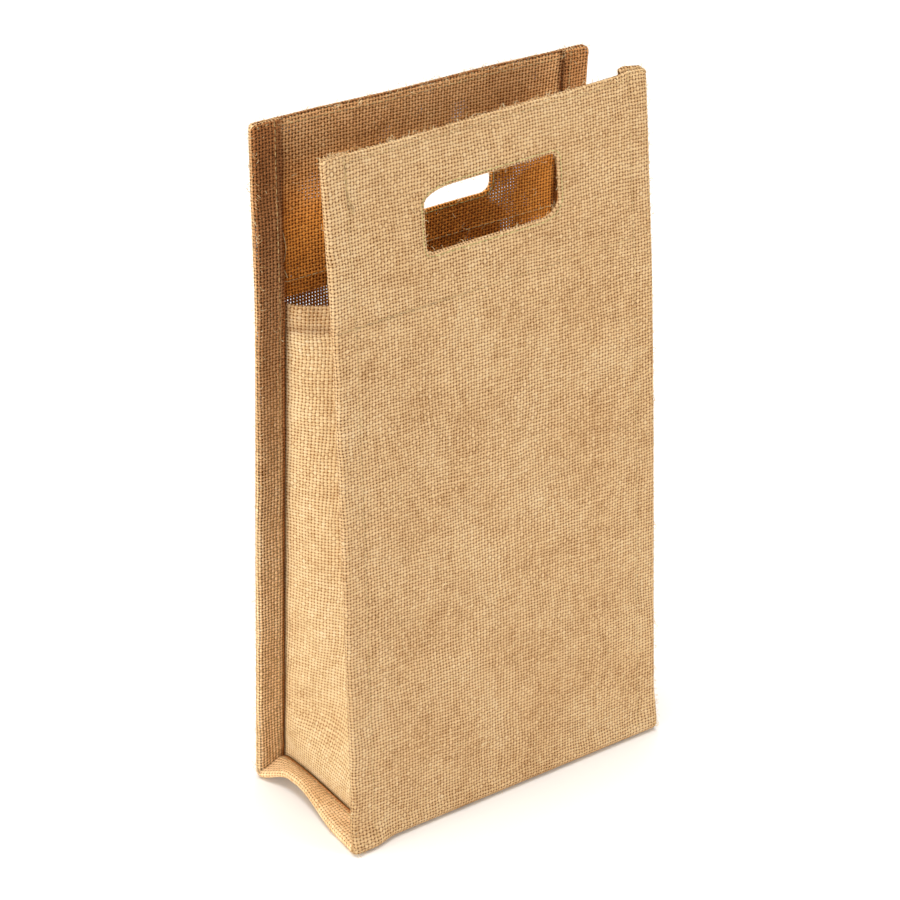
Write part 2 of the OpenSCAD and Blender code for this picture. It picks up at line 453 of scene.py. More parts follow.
@dataclass(frozen=True)
class Marks:
    """Marks on a cloth, from 0 to 1, that its material and its loose fibres read.

    "inside" is a painted light tint: it deepens the colour as light come through the cloth
    would, and as shade would inside the bag, on the fins and on the gussets' hems. "shade" is
    painted shade in creases, on covered layers, on faces that look in, on hems and on fins,
    and "worn" says how thick the loose fibres stand.
    """

    sizes: BagSizes
    # Strengths of the painted light tint ("inside") and of the painted shade ("shade"):
    top_tint: float = 0.45
    top_fades: float = 60 * MM
    front_tint: float = 0.5
    fin_tint: float = 0.6
    hem_tint: float = 0.12
    inner_shade: float = 0.14
    covered_shade: float = 0.8
    crease_shade: float = 0.75
    hem_shade: float = 0.2
    hem_row_shade: float = 0.3
    front_fin_shade: float = 0.2
    left_fin_shade: float = 0.7
    right_fin_shade: float = 0.42
    # How thick the loose fibres stand:
    face_worn: float = 0.03
    edge_worn: float = 0.9
    hole_worn: float = 0.35

    def light(self, piece: Object, inward: tuple[float, float, float], top_at: float = math.inf,
              hemmed: bool = False) -> None:
        """Marks painted light and painted shade where a cloth looks into the bag, lies covered or is creased.

        Args:
            piece: The cloth.
            inward: The direction from this cloth into the bag.
            top_at: Place along the flat cloth where it turns over into its facing.
            hemmed: True for a gusset, which has a hem and creases on its outer face.
        """
        size, mesh = self.sizes, piece.data
        where = read(mesh.vertices, "co", 3)[read(mesh.loops, "vertex_index", 1, int)[:, 0]]
        flat = np.abs(read(mesh.uv_layers["Cloth"].data, "uv", 2))
        up, out = where[:, 2], np.abs(where[:, 0])
        facing = read(mesh.corner_normals, "vector", 3) @ np.array(inward)
        edge = size.half_w - size.fold_w
        looks_in = smooth(facing, -0.1, 0.5) * (1 - smooth(out, edge, edge + 2 * MM))
        covered = (flat[:, 1] > top_at) * (facing < 0)
        covered = np.maximum(covered, (flat[:, 0] > size.half_w + 2 * MM) * (facing < 0))
        covered = covered * (1 - smooth(up, size.wall_h - 7 * MM, size.wall_h - 4 * MM))
        behind = (flat[:, 1] < top_at) * (flat[:, 0] < size.half_w)
        behind = behind * smooth(up, size.bend_up, size.bend_up + 2 * MM)
        creased = smooth(-facing if hemmed else facing, 0.0, 0.5)
        gap = np.abs(out - edge)
        if hemmed:
            far = flat[:, 0].max() - size.fold_w + EDGE_SHORT
            gap = np.minimum(np.abs(flat[:, 1] - 3 * MM), np.abs(far / 2 - MM - np.abs(flat[:, 0] - far / 2)))
        # Painted shade along creases: at the side folds' inner edges, or on a gusset at its foot and seams.
        painted_shade = self.crease_shade * creased * (1 - smooth(gap, 0.5 * MM, 1.6 * MM))
        # Painted shade on faces that look into the bag and on layers that lie covered.
        shade = np.maximum(painted_shade, self.inner_shade * looks_in)
        shade = np.maximum(shade, self.covered_shade * np.maximum(covered, behind * creased * (not hemmed)))
        # Painted light tint on faces that look into the bag, fainter towards the top, full on covered layers.
        low = 1 - smooth(up, size.wall_h - self.top_fades, size.wall_h)
        within = np.maximum(looks_in * (self.top_tint + (1 - self.top_tint) * low), covered)
        if hemmed:
            # Painted tint and painted shade on the gusset's hem band, darkest along its row of stitches.
            row = size.gusset_up - size.hem_h + MM
            in_hem = smooth(up, row - 2 * MM, row + MM)
            sewn = 1 - smooth(np.abs(up - row), 0.5 * MM, 3 * MM)
            within = np.maximum(within, self.hem_tint * in_hem)
            shade = np.maximum(shade, self.hem_shade * in_hem + self.hem_row_shade * sewn)
        else:
            # Painted tint and painted shade on the side folds' fins, stronger towards the top, weaker on the
            # right, weakest on the front wall.
            fin = creased * smooth(out, edge - MM, edge + MM)
            low = smooth(up, size.gusset_up - 110 * MM, size.wall_h)
            within = np.maximum(within, self.fin_tint * fin * low)
            fin_shade = np.where(where[:, 0] < 0, self.left_fin_shade, self.right_fin_shade)
            if inward[1] > 0:
                within *= self.front_tint
                fin_shade = self.front_fin_shade
            shade = np.maximum(shade, fin * fin_shade * smooth(up, 20 * MM, size.wall_h))
        # The painted light tint is written as "inside" and the painted shade as "shade".
        for name, values in (("inside", within), ("shade", shade)):
            mesh.attributes.new(name, "FLOAT", "CORNER").data.foreach_set("value", values.astype(np.float32))

    def wear(self, mesh: Mesh, hole_at: tuple[float, float] | None) -> None:
        """Marks how thick loose fibres stand: most on edges and rolled tops, none at the foot.

        Args:
            mesh: The cloth's mesh.
            hole_at: Middle of the cloth's hand hole, across and up, if it has one.
        """
        size = self.sizes
        where = read(mesh.vertices, "co", 3)
        out, up = np.abs(where[:, 0]), where[:, 2]
        worn = self.face_worn + self.edge_worn * smooth(out, size.half_w - 0.9 * MM, size.half_w - 0.3 * MM)
        worn = np.maximum(worn, smooth(up, size.wall_h - 3 * MM, size.wall_h - 1.6 * MM))
        if hole_at:
            off = np.maximum(np.abs(where[:, 0] - hole_at[0]) - size.hole_w / 2,
                             np.abs(up - hole_at[1]) - size.hole_h / 2)
            worn = np.maximum(worn, self.hole_worn * (1 - smooth(np.abs(off), MM, 3 * MM)))
        worn *= smooth(up, 1.5 * MM, 3 * MM)
        mesh.attributes.new("worn", "FLOAT", "POINT").data.foreach_set("value", worn.astype(np.float32))


@dataclass(frozen=True)
class HandHole:
    """A hand hole with its edges turned in: the corner radii run from the upper right round."""

    sizes: BagSizes
    at: tuple[float, float]
    radii: tuple[tuple[float, float], ...]
    block_x: float = 46.5 * MM
    block_up: float = 22.5 * MM
    across_steps: int = 31
    up_steps: int = 15
    roll_steps: int = 8

    def outline(self, out: float) -> np.ndarray:
        """Points round the hole, a distance out from its edge, from the lower left corner.

        Args:
            out: Distance out from the hole's edge, or in from it when negative.

        Returns:
            One point to a row: across, and up from the hole's middle.
        """
        half = np.array([self.sizes.hole_w / 2 + out, self.sizes.hole_h / 2 + out])
        corner = [(1, 1), (-1, 1), (-1, -1), (1, -1)]
        radius = [np.maximum(np.array(r) + out, 0.4 * MM) for r in self.radii]
        spots = []
        for first, second, steps in ((2, 3, self.across_steps), (3, 0, self.up_steps),
                                     (0, 1, self.across_steps), (1, 2, self.up_steps)):
            run = []
            for which, low, high in ((first, 45, 90), (second, 0, 45)):
                centre = np.array(corner[which]) * (half - radius[which])
                angles = [math.radians(90 * which + a) for a in np.linspace(low, high, 7)]
                run += [centre + radius[which] * np.array([math.cos(a), math.sin(a)]) for a in angles]
            run = np.array(run)
            along = np.concatenate([[0], np.cumsum(np.linalg.norm(np.diff(run, axis=0), axis=1))])
            at = np.linspace(0, along[-1], steps, endpoint=False)
            spots.append(np.stack([np.interp(at, along, run[:, k]) for k in (0, 1)], axis=1))
        return np.concatenate(spots)

    def ring(self, out: float) -> tuple[np.ndarray, np.ndarray]:
        """The outline on the wall: places across it and heights up it."""
        spots = self.outline(out)
        return spots[:, 0] + self.at[0], spots[:, 1] + self.at[1]

    def frame_ring(self) -> np.ndarray:
        """The square-cornered block of cloth round the hole, in the outline's order."""
        x = np.linspace(-self.block_x, self.block_x, self.across_steps + 1)
        up = np.linspace(-self.block_up, self.block_up, self.up_steps + 1)
        x = x - self.at[0]
        low = [(v, -self.block_up) for v in x[:-1]]
        right = [(x[-1], v) for v in up[:-1]]
        high = [(v, self.block_up) for v in x[:0:-1]]
        left = [(x[0], v) for v in up[:0:-1]]
        return np.array(low + right + high + left)


class StripWall:
    """One long wall of the strip: foot, wall, rolled top, facing, side folds and hand hole."""

    def __init__(self, shape: WallShape, stack: ClothStack, hole: HandHole) -> None:
        """Keeps the wall's shape, its layers and its hand hole."""
        self.shape = shape
        self.stack = stack
        self.hole = hole
        self.sizes = shape.sizes
        self.turn_x = self.sizes.half_w - stack.fold_at / 2
        self.cols = self.columns()

    def columns(self) -> list[tuple[float, float, float]]:
        """Across the strip: each column's flat x, its share of the side turn, and its fold x."""
        inner = self.sizes.half_w - self.sizes.fold_w
        block = self.hole.block_x
        seam = self.sizes.seam_x
        half = [*np.linspace(block, seam - GROOVE, 13)[1:],
                seam, seam + GROOVE, seam + 4 * MM, seam + 7 * MM, self.turn_x]
        whole = np.linspace(-block, block, self.hole.across_steps + 1)
        flat = [(x, 0.0, 0.0) for x in [*(-x for x in half[::-1]), *whole, *half]]
        turn = [(self.turn_x, share, 0.0) for share in np.linspace(0, 1, 8)[1:]]
        flap_x = [self.turn_x - 3.5 * MM, self.turn_x - 7 * MM, seam + GROOVE, seam, seam - GROOVE, inner]
        flap = [(self.turn_x, 1.0, self.turn_x - x) for x in flap_x]
        right = turn + flap
        left = [(-a, b, c) for a, b, c in right[::-1]]
        return left + flat + right

    def section(self, delta: float) -> tuple[np.ndarray, np.ndarray, np.ndarray]:
        """The C-folded cross-section of a layer.

        Args:
            delta: How deep the layer lies behind the strip's outer face.

        Returns:
            For each column its x, its depth and its place across the flat cloth.
        """
        radius = self.stack.fold_at / 2 - delta
        x, depth, flat = [], [], []
        for base, share, fold in self.cols:
            side = math.copysign(1, base)
            angle = math.pi * share
            x.append(base + side * (radius * math.sin(angle) - fold))
            depth.append(self.stack.fold_at / 2 - radius * math.cos(angle))
            flat.append(base + side * (self.stack.fold_at / 2 * angle + fold))
        return np.array(x), np.array(depth), np.array(flat)

    def rows(self) -> list[tuple[float, float, float, float, float, float]]:
        """Along the strip: depth, height, inward direction (two parts), layer and place along."""
        size, stack = self.sizes, self.stack
        turn = stack.base_turn
        start = size.half_d - turn
        made = []
        for angle in np.linspace(0, math.pi / 2, 8):
            made.append((turn * (1 - math.sin(angle)), turn * (1 - math.cos(angle)),
                         math.sin(angle), math.cos(angle), 0.0, start + turn * angle))
        roll = stack.facing_at / 2
        low, high = self.hole.at[1] - self.hole.block_up, self.hole.at[1] + self.hole.block_up
        row = size.facing_row_up
        top = size.wall_h - roll
        near_bend = size.bend_up - 6 * MM
        ups = [*np.linspace(turn, near_bend, 66)[1:],
               *np.linspace(near_bend, row - GROOVE, 7)[1:],
               row, row + GROOVE,
               *np.linspace(row + GROOVE, low, 6)[1:],
               *np.linspace(low, high, self.hole.up_steps + 1)[1:],
               *np.linspace(high, size.top_row_up - GROOVE, 5)[1:],
               size.top_row_up, size.top_row_up + GROOVE, top]
        base_along = start + turn * math.pi / 2 - turn
        made += [(0.0, up, 1.0, 0.0, 0.0, base_along + up) for up in ups]
        for angle in np.linspace(0, math.pi, 9)[1:]:
            made.append((0.0, top + roll * math.sin(angle), 1.0, 0.0, roll * (1 - math.cos(angle)),
                         base_along + top + roll * angle))
        end_along = base_along + top + roll * math.pi
        made += [(0.0, up, 1.0, 0.0, stack.facing_at, end_along + top - up)
                 for up in ups[::-1][1:] if up >= size.bend_up - MM / 2]
        return made

    def hump(self, x: np.ndarray, depth: np.ndarray, up: np.ndarray) -> np.ndarray:
        """How far the bunched layers of a side seam stand above the wall's top edge."""
        out = np.abs(x)
        seam = self.sizes.seam_x
        high = np.where(x < 0, *self.shape.bunched)
        folded = 0.25 + 0.75 * smooth(depth, self.stack.facing_at, self.stack.fold_at)
        rise = smooth(out, seam - 6 * MM, seam - 2 * MM) - 0.6 * smooth(out, seam, self.sizes.half_w)
        near_top = smooth(up, self.sizes.wall_h - 14 * MM, self.sizes.wall_h - 2 * MM)
        corner = 1.6 * MM * smooth(out, self.sizes.half_w - 3.5 * MM, self.sizes.half_w) ** 2
        return (high * folded * rise - corner) * near_top

    def place(self, x: np.ndarray, depth: np.ndarray, up: np.ndarray) -> np.ndarray:
        """Puts points of the folded strip in the frame, seam humps included."""
        x, depth, up = np.broadcast_arrays(*(np.asarray(values, float) for values in (x, depth, up)))
        return self.shape.place(x, depth, up + self.hump(x, depth, up))

    def flat_along(self, along: float | np.ndarray) -> float | np.ndarray:
        """Place along the whole strip, with the base's middle at zero and the front positive."""
        return -self.shape.wall.value * along

    def make(self, name: str) -> Object:
        """Makes the wall's cloth.

        Args:
            name: The piece's name.

        Returns:
            The new piece.
        """
        maker = MeshMaker()
        rows = self.rows()
        turned = self.shape.wall is Wall.BACK
        numbers, flats = [], []
        for depth, up, in_depth, in_up, delta, along in rows:
            x, sunk, flat = self.section(delta)
            points = self.place(x, depth + in_depth * sunk, up + in_up * sunk)
            numbers.append(maker.add(points))
            flats.append(np.stack([flat, np.full(len(x), self.flat_along(along))], axis=1))
        first = next(k for k, (x, share, _) in enumerate(self.cols)
                     if share == 0 and abs(x + self.hole.block_x) < MM / 10)
        last = first + self.hole.across_steps
        low, high = self.hole.at[1] - self.hole.block_up, self.hole.at[1] + self.hole.block_up
        blocks: dict[bool, list[int]] = {False: [], True: []}
        for r, (_, up, in_depth, _, delta, _) in enumerate(rows):
            beside = low - MM / 10 <= up <= high + MM / 10
            if in_depth == 1.0 and beside and delta in (0.0, self.stack.facing_at):
                blocks[delta > 0].append(r)
        for r in range(len(rows) - 1):
            inside = any(r in block and r + 1 in block for block in blocks.values())
            spans = ((0, first), (last, len(self.cols) - 1)) if inside else ((0, len(self.cols) - 1),)
            for a, b in spans:
                part = slice(a, b + 1)
                maker.band(numbers[r][part], numbers[r + 1][part], flats[r][part], flats[r + 1][part],
                           closed=False, turned=turned)
        self.add_hole(maker, rows, numbers, flats, blocks, first, last, turned)
        return maker.make(name, self.stack.layer)

    def add_hole(self, maker: MeshMaker, rows: list, numbers: list, flats: list, blocks: dict,
                 first: int, last: int, turned: bool) -> None:
        """Fills the block round the hand hole on both layers and rolls the hole's edge."""
        hole = self.hole
        roll = self.stack.facing_at / 2
        inner_rings: dict[bool, tuple[np.ndarray, float, int]] = {}
        for is_facing, block in blocks.items():
            ordered = block[::-1] if is_facing else block
            bottom, top = ordered[0], ordered[-1]
            loop = [(bottom, k) for k in range(first, last)] + [(r, last) for r in ordered[:-1]]
            loop += [(top, k) for k in range(last, first, -1)] + [(r, first) for r in ordered[:0:-1]]
            delta = self.stack.facing_at if is_facing else 0.0
            along = rows[bottom][5]
            side = -1 if is_facing else 1
            outer_spots = hole.frame_ring()
            near_spots = hole.outline(5 * MM)
            steps = [outer_spots + (near_spots - outer_spots) * t for t in (0.3, 0.6, 0.85)]
            steps += [hole.outline(out) for out in (5 * MM, 4 * MM, 3 * MM, 2 * MM, roll)]
            dips = [0, 0, 0, 0, 0.10 * MM, 0.30 * MM, 0.05 * MM, 0]
            last_ring, last_flat = (np.array([grid[r][k] for r, k in loop]) for grid in (numbers, flats))
            for spots, dip in zip(steps, dips):
                sunk = delta + (dip if not is_facing else -dip)
                points = self.place(spots[:, 0] + hole.at[0], sunk, spots[:, 1] + hole.at[1])
                next_ring = maker.add(points)
                next_flat = np.stack([spots[:, 0] + hole.at[0],
                                      self.flat_along(along + side * (spots[:, 1] + hole.block_up))], axis=1)
                maker.band(last_ring, next_ring, last_flat, next_flat, closed=True,
                           turned=turned != is_facing)
                last_ring, last_flat = next_ring, next_flat
            inner_rings[is_facing] = (last_ring, along, side)
        outer_ring, outer_along, _ = inner_rings[False]
        facing_ring, facing_along, _ = inner_rings[True]
        angles = np.linspace(0, math.pi, hole.roll_steps + 1)
        for k in range(hole.roll_steps):
            angle = angles[k + 1]
            if k + 1 == hole.roll_steps:
                next_ring = facing_ring
            else:
                spots = hole.outline(roll * (1 - math.sin(angle)))
                next_ring = maker.add(self.place(spots[:, 0] + hole.at[0], roll * (1 - math.cos(angle)),
                                                 spots[:, 1] + hole.at[1]))
            outer_half = angle <= math.pi / 2 + 1e-6
            along, side = (outer_along, 1) if outer_half else (facing_along, -1)
            pair = []
            for bend in (angles[k], angle):
                turned_in = bend if outer_half else math.pi - bend
                spots = hole.outline(roll * (1 - turned_in))
                pair.append(np.stack([spots[:, 0] + hole.at[0],
                                      self.flat_along(along + side * (spots[:, 1] + hole.block_up))], axis=1))
            maker.band(outer_ring, next_ring, pair[0], pair[1], closed=True, turned=turned)
            outer_ring = next_ring


class BaseCloth:
    """The strip's base between the two feet, with its side folds turned up."""

    rows = 31

    def __init__(self, wall: StripWall, settling: Settling) -> None:
        """Takes its cross-section from a wall of the same strip."""
        self.wall = wall
        self.settling = settling

    def make(self, name: str) -> Object:
        """Makes the base's cloth."""
        maker = MeshMaker()
        reach = self.wall.sizes.half_d - self.wall.stack.base_turn
        x, sunk, flat = self.wall.section(0.0)
        rows = []
        for y in np.linspace(-reach, reach, self.rows):
            points = self.settling.apply(np.stack([x, np.full(len(x), y), sunk], axis=1), self.wall.sizes)
            rows.append((maker.add(points), np.stack([flat, np.full(len(x), -y)], axis=1)))
        maker.run(rows, turned=True)
        return maker.make(name, self.wall.stack.layer)


@dataclass(frozen=True)
class GussetFold:
    """How a gusset's web is cut, and how it settles as cloth between the two walls.

    Gravity is turned down because the hem holds the real web's top edge up.
    """

    slack: float = 1.012
    crease_round: float = 0.28
    across: int = 26
    up: int = 74
    frames: int = 24
    quality: int = 7
    mass: float = 0.35
    stretch: float = 80
    shear: float = 30
    bending: float = 1.2
    gravity: float = 0.04
    stretch_damping: float = 12
    bending_damping: float = 1
    smoothings: int = 2


class Gusset:
    """One gusset: a web that falls in towards the bag, edges in the seams and a top hem."""

    def __init__(self, end: End, front: StripWall, back: StripWall, settling: Settling,
                 fold: GussetFold) -> None:
        """Keeps the end, the two walls that hold the gusset, and how it folds."""
        self.end = end
        self.front = front
        self.back = back
        self.settling = settling
        self.fold = fold
        self.sizes = front.sizes
        self.stack = front.stack
        self.inner_x = self.sizes.half_w - self.sizes.fold_w
        self.reach = self.sizes.fold_w - EDGE_SHORT

    def seam_edge(self, wall: StripWall, x_off: float, depth: float, ups: np.ndarray,
                  settle: bool = True) -> np.ndarray:
        """Points up a wall at one distance across and one depth, settled or not."""
        x = np.full(len(ups), self.end.value * (self.inner_x + x_off))
        return wall.shape.place(x, np.full(len(ups), depth), ups, settle)

    def web_start(self, ups: np.ndarray) -> tuple[np.ndarray, np.ndarray]:
        """The web before it settles, and its flat cut, as grids of points."""
        turn = self.stack.gusset_turn
        depth = self.stack.gusset_at + turn
        near = self.seam_edge(self.front, -turn, depth, ups, settle=False)
        far = self.seam_edge(self.back, -turn, depth, ups, settle=False)
        t = np.linspace(-1, 1, self.fold.across + 1)
        chord = np.linalg.norm(far - near, axis=1)
        flat_w = chord[0] * self.fold.slack
        fall = np.sqrt(np.maximum((flat_w / 2) ** 2 - (chord / 2) ** 2, 0)) * 0.9
        fall = fall * smooth(ups, ups[0], 50 * MM)
        tent = 1 - (np.sqrt(t**2 + self.fold.crease_round**2) - self.fold.crease_round) / (
            math.sqrt(1 + self.fold.crease_round**2) - self.fold.crease_round)
        points = near[:, None, :] + (far - near)[:, None, :] * ((t + 1) / 2)[None, :, None]
        points[:, :, 0] -= self.end.value * fall[:, None] * tent[None, :]
        points = self.settling.apply(points.reshape(-1, 3), self.sizes).reshape(points.shape)
        rise = np.concatenate([[0], np.cumsum(np.linalg.norm(np.diff(near, axis=0), axis=1))])
        cut = np.zeros_like(points)
        cut[:, :, 1] = (t * flat_w / 2)[None, :]
        cut[:, :, 2] = rise[:, None]
        return points, cut

    def settled_web(self, ups: np.ndarray) -> np.ndarray:
        """Lets the web settle as cloth, held along both seams and the foot.

        Args:
            ups: Heights of its rows.

        Returns:
            The web's points as a grid.
        """
        points, cut = self.web_start(ups)
        rows, cols = points.shape[:2]
        mesh = bpy.data.meshes.new("web")
        faces = [(r * cols + c, r * cols + c + 1, (r + 1) * cols + c + 1, (r + 1) * cols + c)
                 for r in range(rows - 1) for c in range(cols - 1)]
        mesh.from_pydata(points.reshape(-1, 3).tolist(), [], faces)
        web = in_scene("web", mesh)
        web.shape_key_add(name="hung")
        flat_key = web.shape_key_add(name="cut")
        flat_key.data.foreach_set("co", cut.reshape(-1))
        held = web.vertex_groups.new(name="held")
        edge = [r * cols + c for r in range(rows) for c in range(cols) if c in (0, cols - 1) or r == 0]
        held.add(edge, 1.0, "REPLACE")
        cloth = web.modifiers.new("Cloth", "CLOTH")
        sets = cloth.settings
        sets.vertex_group_mass = "held"
        sets.rest_shape_key = flat_key
        sets.quality = self.fold.quality
        sets.mass = self.fold.mass
        sets.tension_stiffness = sets.compression_stiffness = self.fold.stretch
        sets.shear_stiffness = self.fold.shear
        sets.bending_stiffness = self.fold.bending
        sets.effector_weights.gravity = self.fold.gravity
        sets.tension_damping = sets.compression_damping = self.fold.stretch_damping
        sets.bending_damping = self.fold.bending_damping
        cloth.point_cache.frame_end = self.fold.frames
        scene = bpy.context.scene
        for step in range(1, self.fold.frames + 1):
            scene.frame_set(step)
        seen = web.evaluated_get(bpy.context.evaluated_depsgraph_get())
        grid = read(seen.data.vertices, "co", 3).reshape(rows, cols, 3)
        scene.frame_set(1)
        bpy.data.objects.remove(web)
        for _ in range(self.fold.smoothings):
            soft = grid.copy()
            soft[1:-1, 1:-1] = (grid[:-2, 1:-1] + grid[2:, 1:-1] + grid[1:-1, :-2] + grid[1:-1, 2:]) / 4
            grid = grid * 0.5 + soft * 0.5
        return grid

    def make(self, name: str) -> Object:
        """Makes the gusset's cloth, with its sewn-in edges and its hem."""
        stack, size, sign = self.stack, self.sizes, self.end.value
        turn = stack.gusset_turn
        foot = stack.gusset_at + turn
        ups = np.linspace(foot, size.gusset_up - stack.facing_at / 2, self.fold.up + 1)
        web = self.settled_web(ups)
        self.web = web
        maker = MeshMaker()
        turned = self.end is End.RIGHT
        edge_steps = [self.reach, self.reach * 0.66, self.reach * 0.33, 0.0]
        angles = np.linspace(0, math.pi / 2, 5)[1:-1]
        columns = [(self.seam_edge(self.front, off, stack.gusset_at, ups), -off) for off in edge_steps]
        columns += [(self.seam_edge(self.front, -turn * math.sin(a), foot - turn * math.cos(a), ups),
                     turn * a) for a in angles]
        across = turn * math.pi / 2
        width = 2 * (size.half_d - foot) * self.fold.slack
        columns += [(web[:, c], across + width * c / self.fold.across) for c in range(web.shape[1])]
        end_at = 2 * across + width
        columns += [(self.seam_edge(self.back, -turn * math.sin(a), foot - turn * math.cos(a), ups),
                     end_at - turn * a) for a in angles[::-1]]
        columns += [(self.seam_edge(self.back, off, stack.gusset_at, ups), end_at + off)
                    for off in edge_steps[::-1]]
        maker.run([(maker.add(points), np.stack([np.full(len(ups), at), ups], axis=1))
                   for points, at in columns], turned=not turned)
        web_from = len(edge_steps) + len(angles)
        self.add_hem(maker, web, width, web_from * len(ups), ups, turned)
        self.add_foot(maker, web, width, web_from * len(ups), ups, turned)
        return maker.make(name, stack.layer)

    def inward(self, web: np.ndarray) -> np.ndarray:
        """Unit directions into the bag at each point of the web."""
        normal = unit(np.cross(np.gradient(web, axis=1), np.gradient(web, axis=0)))
        return normal if normal[:, :, 0].mean() * self.end.value < 0 else -normal

    def add_hem(self, maker: MeshMaker, web: np.ndarray, width: float, start: int, ups: np.ndarray,
                turned: bool) -> None:
        """Rolls the web's top edge over and turns its hem down inside."""
        roll = self.stack.facing_at / 2
        count = len(ups)
        within = self.inward(web)
        top, top_in = web[-1], within[-1]
        numbers = start + np.arange(web.shape[1]) * count + count - 1
        at = self.stack.gusset_turn * math.pi / 2 + width * np.arange(web.shape[1]) / self.fold.across
        flat = np.stack([at, np.full(len(at), ups[-1])], axis=1)
        rows = []
        for angle in np.linspace(0, math.pi, 7)[1:]:
            rise = np.array([0, 0, roll * math.sin(angle)])
            rows.append((top + top_in * roll * (1 - math.cos(angle)) + rise, ups[-1] + roll * angle))
        hem_rows = int(round(self.sizes.hem_h / (ups[1] - ups[0])))
        for k in range(1, hem_rows + 1):
            rows.append((web[-1 - k] + within[-1 - k] * 2 * roll,
                         ups[-1] + roll * math.pi + ups[-1] - ups[-1 - k]))
        maker.run([(numbers, flat)] + [(maker.add(points), np.stack([at, np.full(len(at), along)], axis=1))
                                       for points, along in rows], turned)

    def add_foot(self, maker: MeshMaker, web: np.ndarray, width: float, start: int, ups: np.ndarray,
                 turned: bool) -> None:
        """Turns the web's foot out into the base's seam."""
        turn = self.stack.gusset_turn
        at = turn * math.pi / 2 + width * np.arange(web.shape[1]) / self.fold.across
        numbers = start + np.arange(web.shape[1]) * len(ups)
        joined = [(numbers, np.stack([at, np.full(len(at), ups[0])], axis=1))]
        y = web[0, :, 1]
        rows = [(-turn * math.sin(a), ups[0] - turn * math.cos(a), turn * (math.pi / 2 - a))
                for a in np.linspace(math.pi / 2, 0, 4)[1:]]
        rows += [(off, self.stack.gusset_at, turn * math.pi / 2 + off)
                 for off in (self.reach * 0.33, self.reach * 0.66, self.reach)]
        for off, z, down in rows:
            x = np.full(len(y), self.end.value * (self.inner_x + off))
            points = self.settling.apply(np.stack([x, y, np.full(len(y), z)], axis=1), self.sizes)
            joined.append((maker.add(points), np.stack([at, np.full(len(at), ups[0] - down)], axis=1)))
        maker.run(joined, turned=not turned)


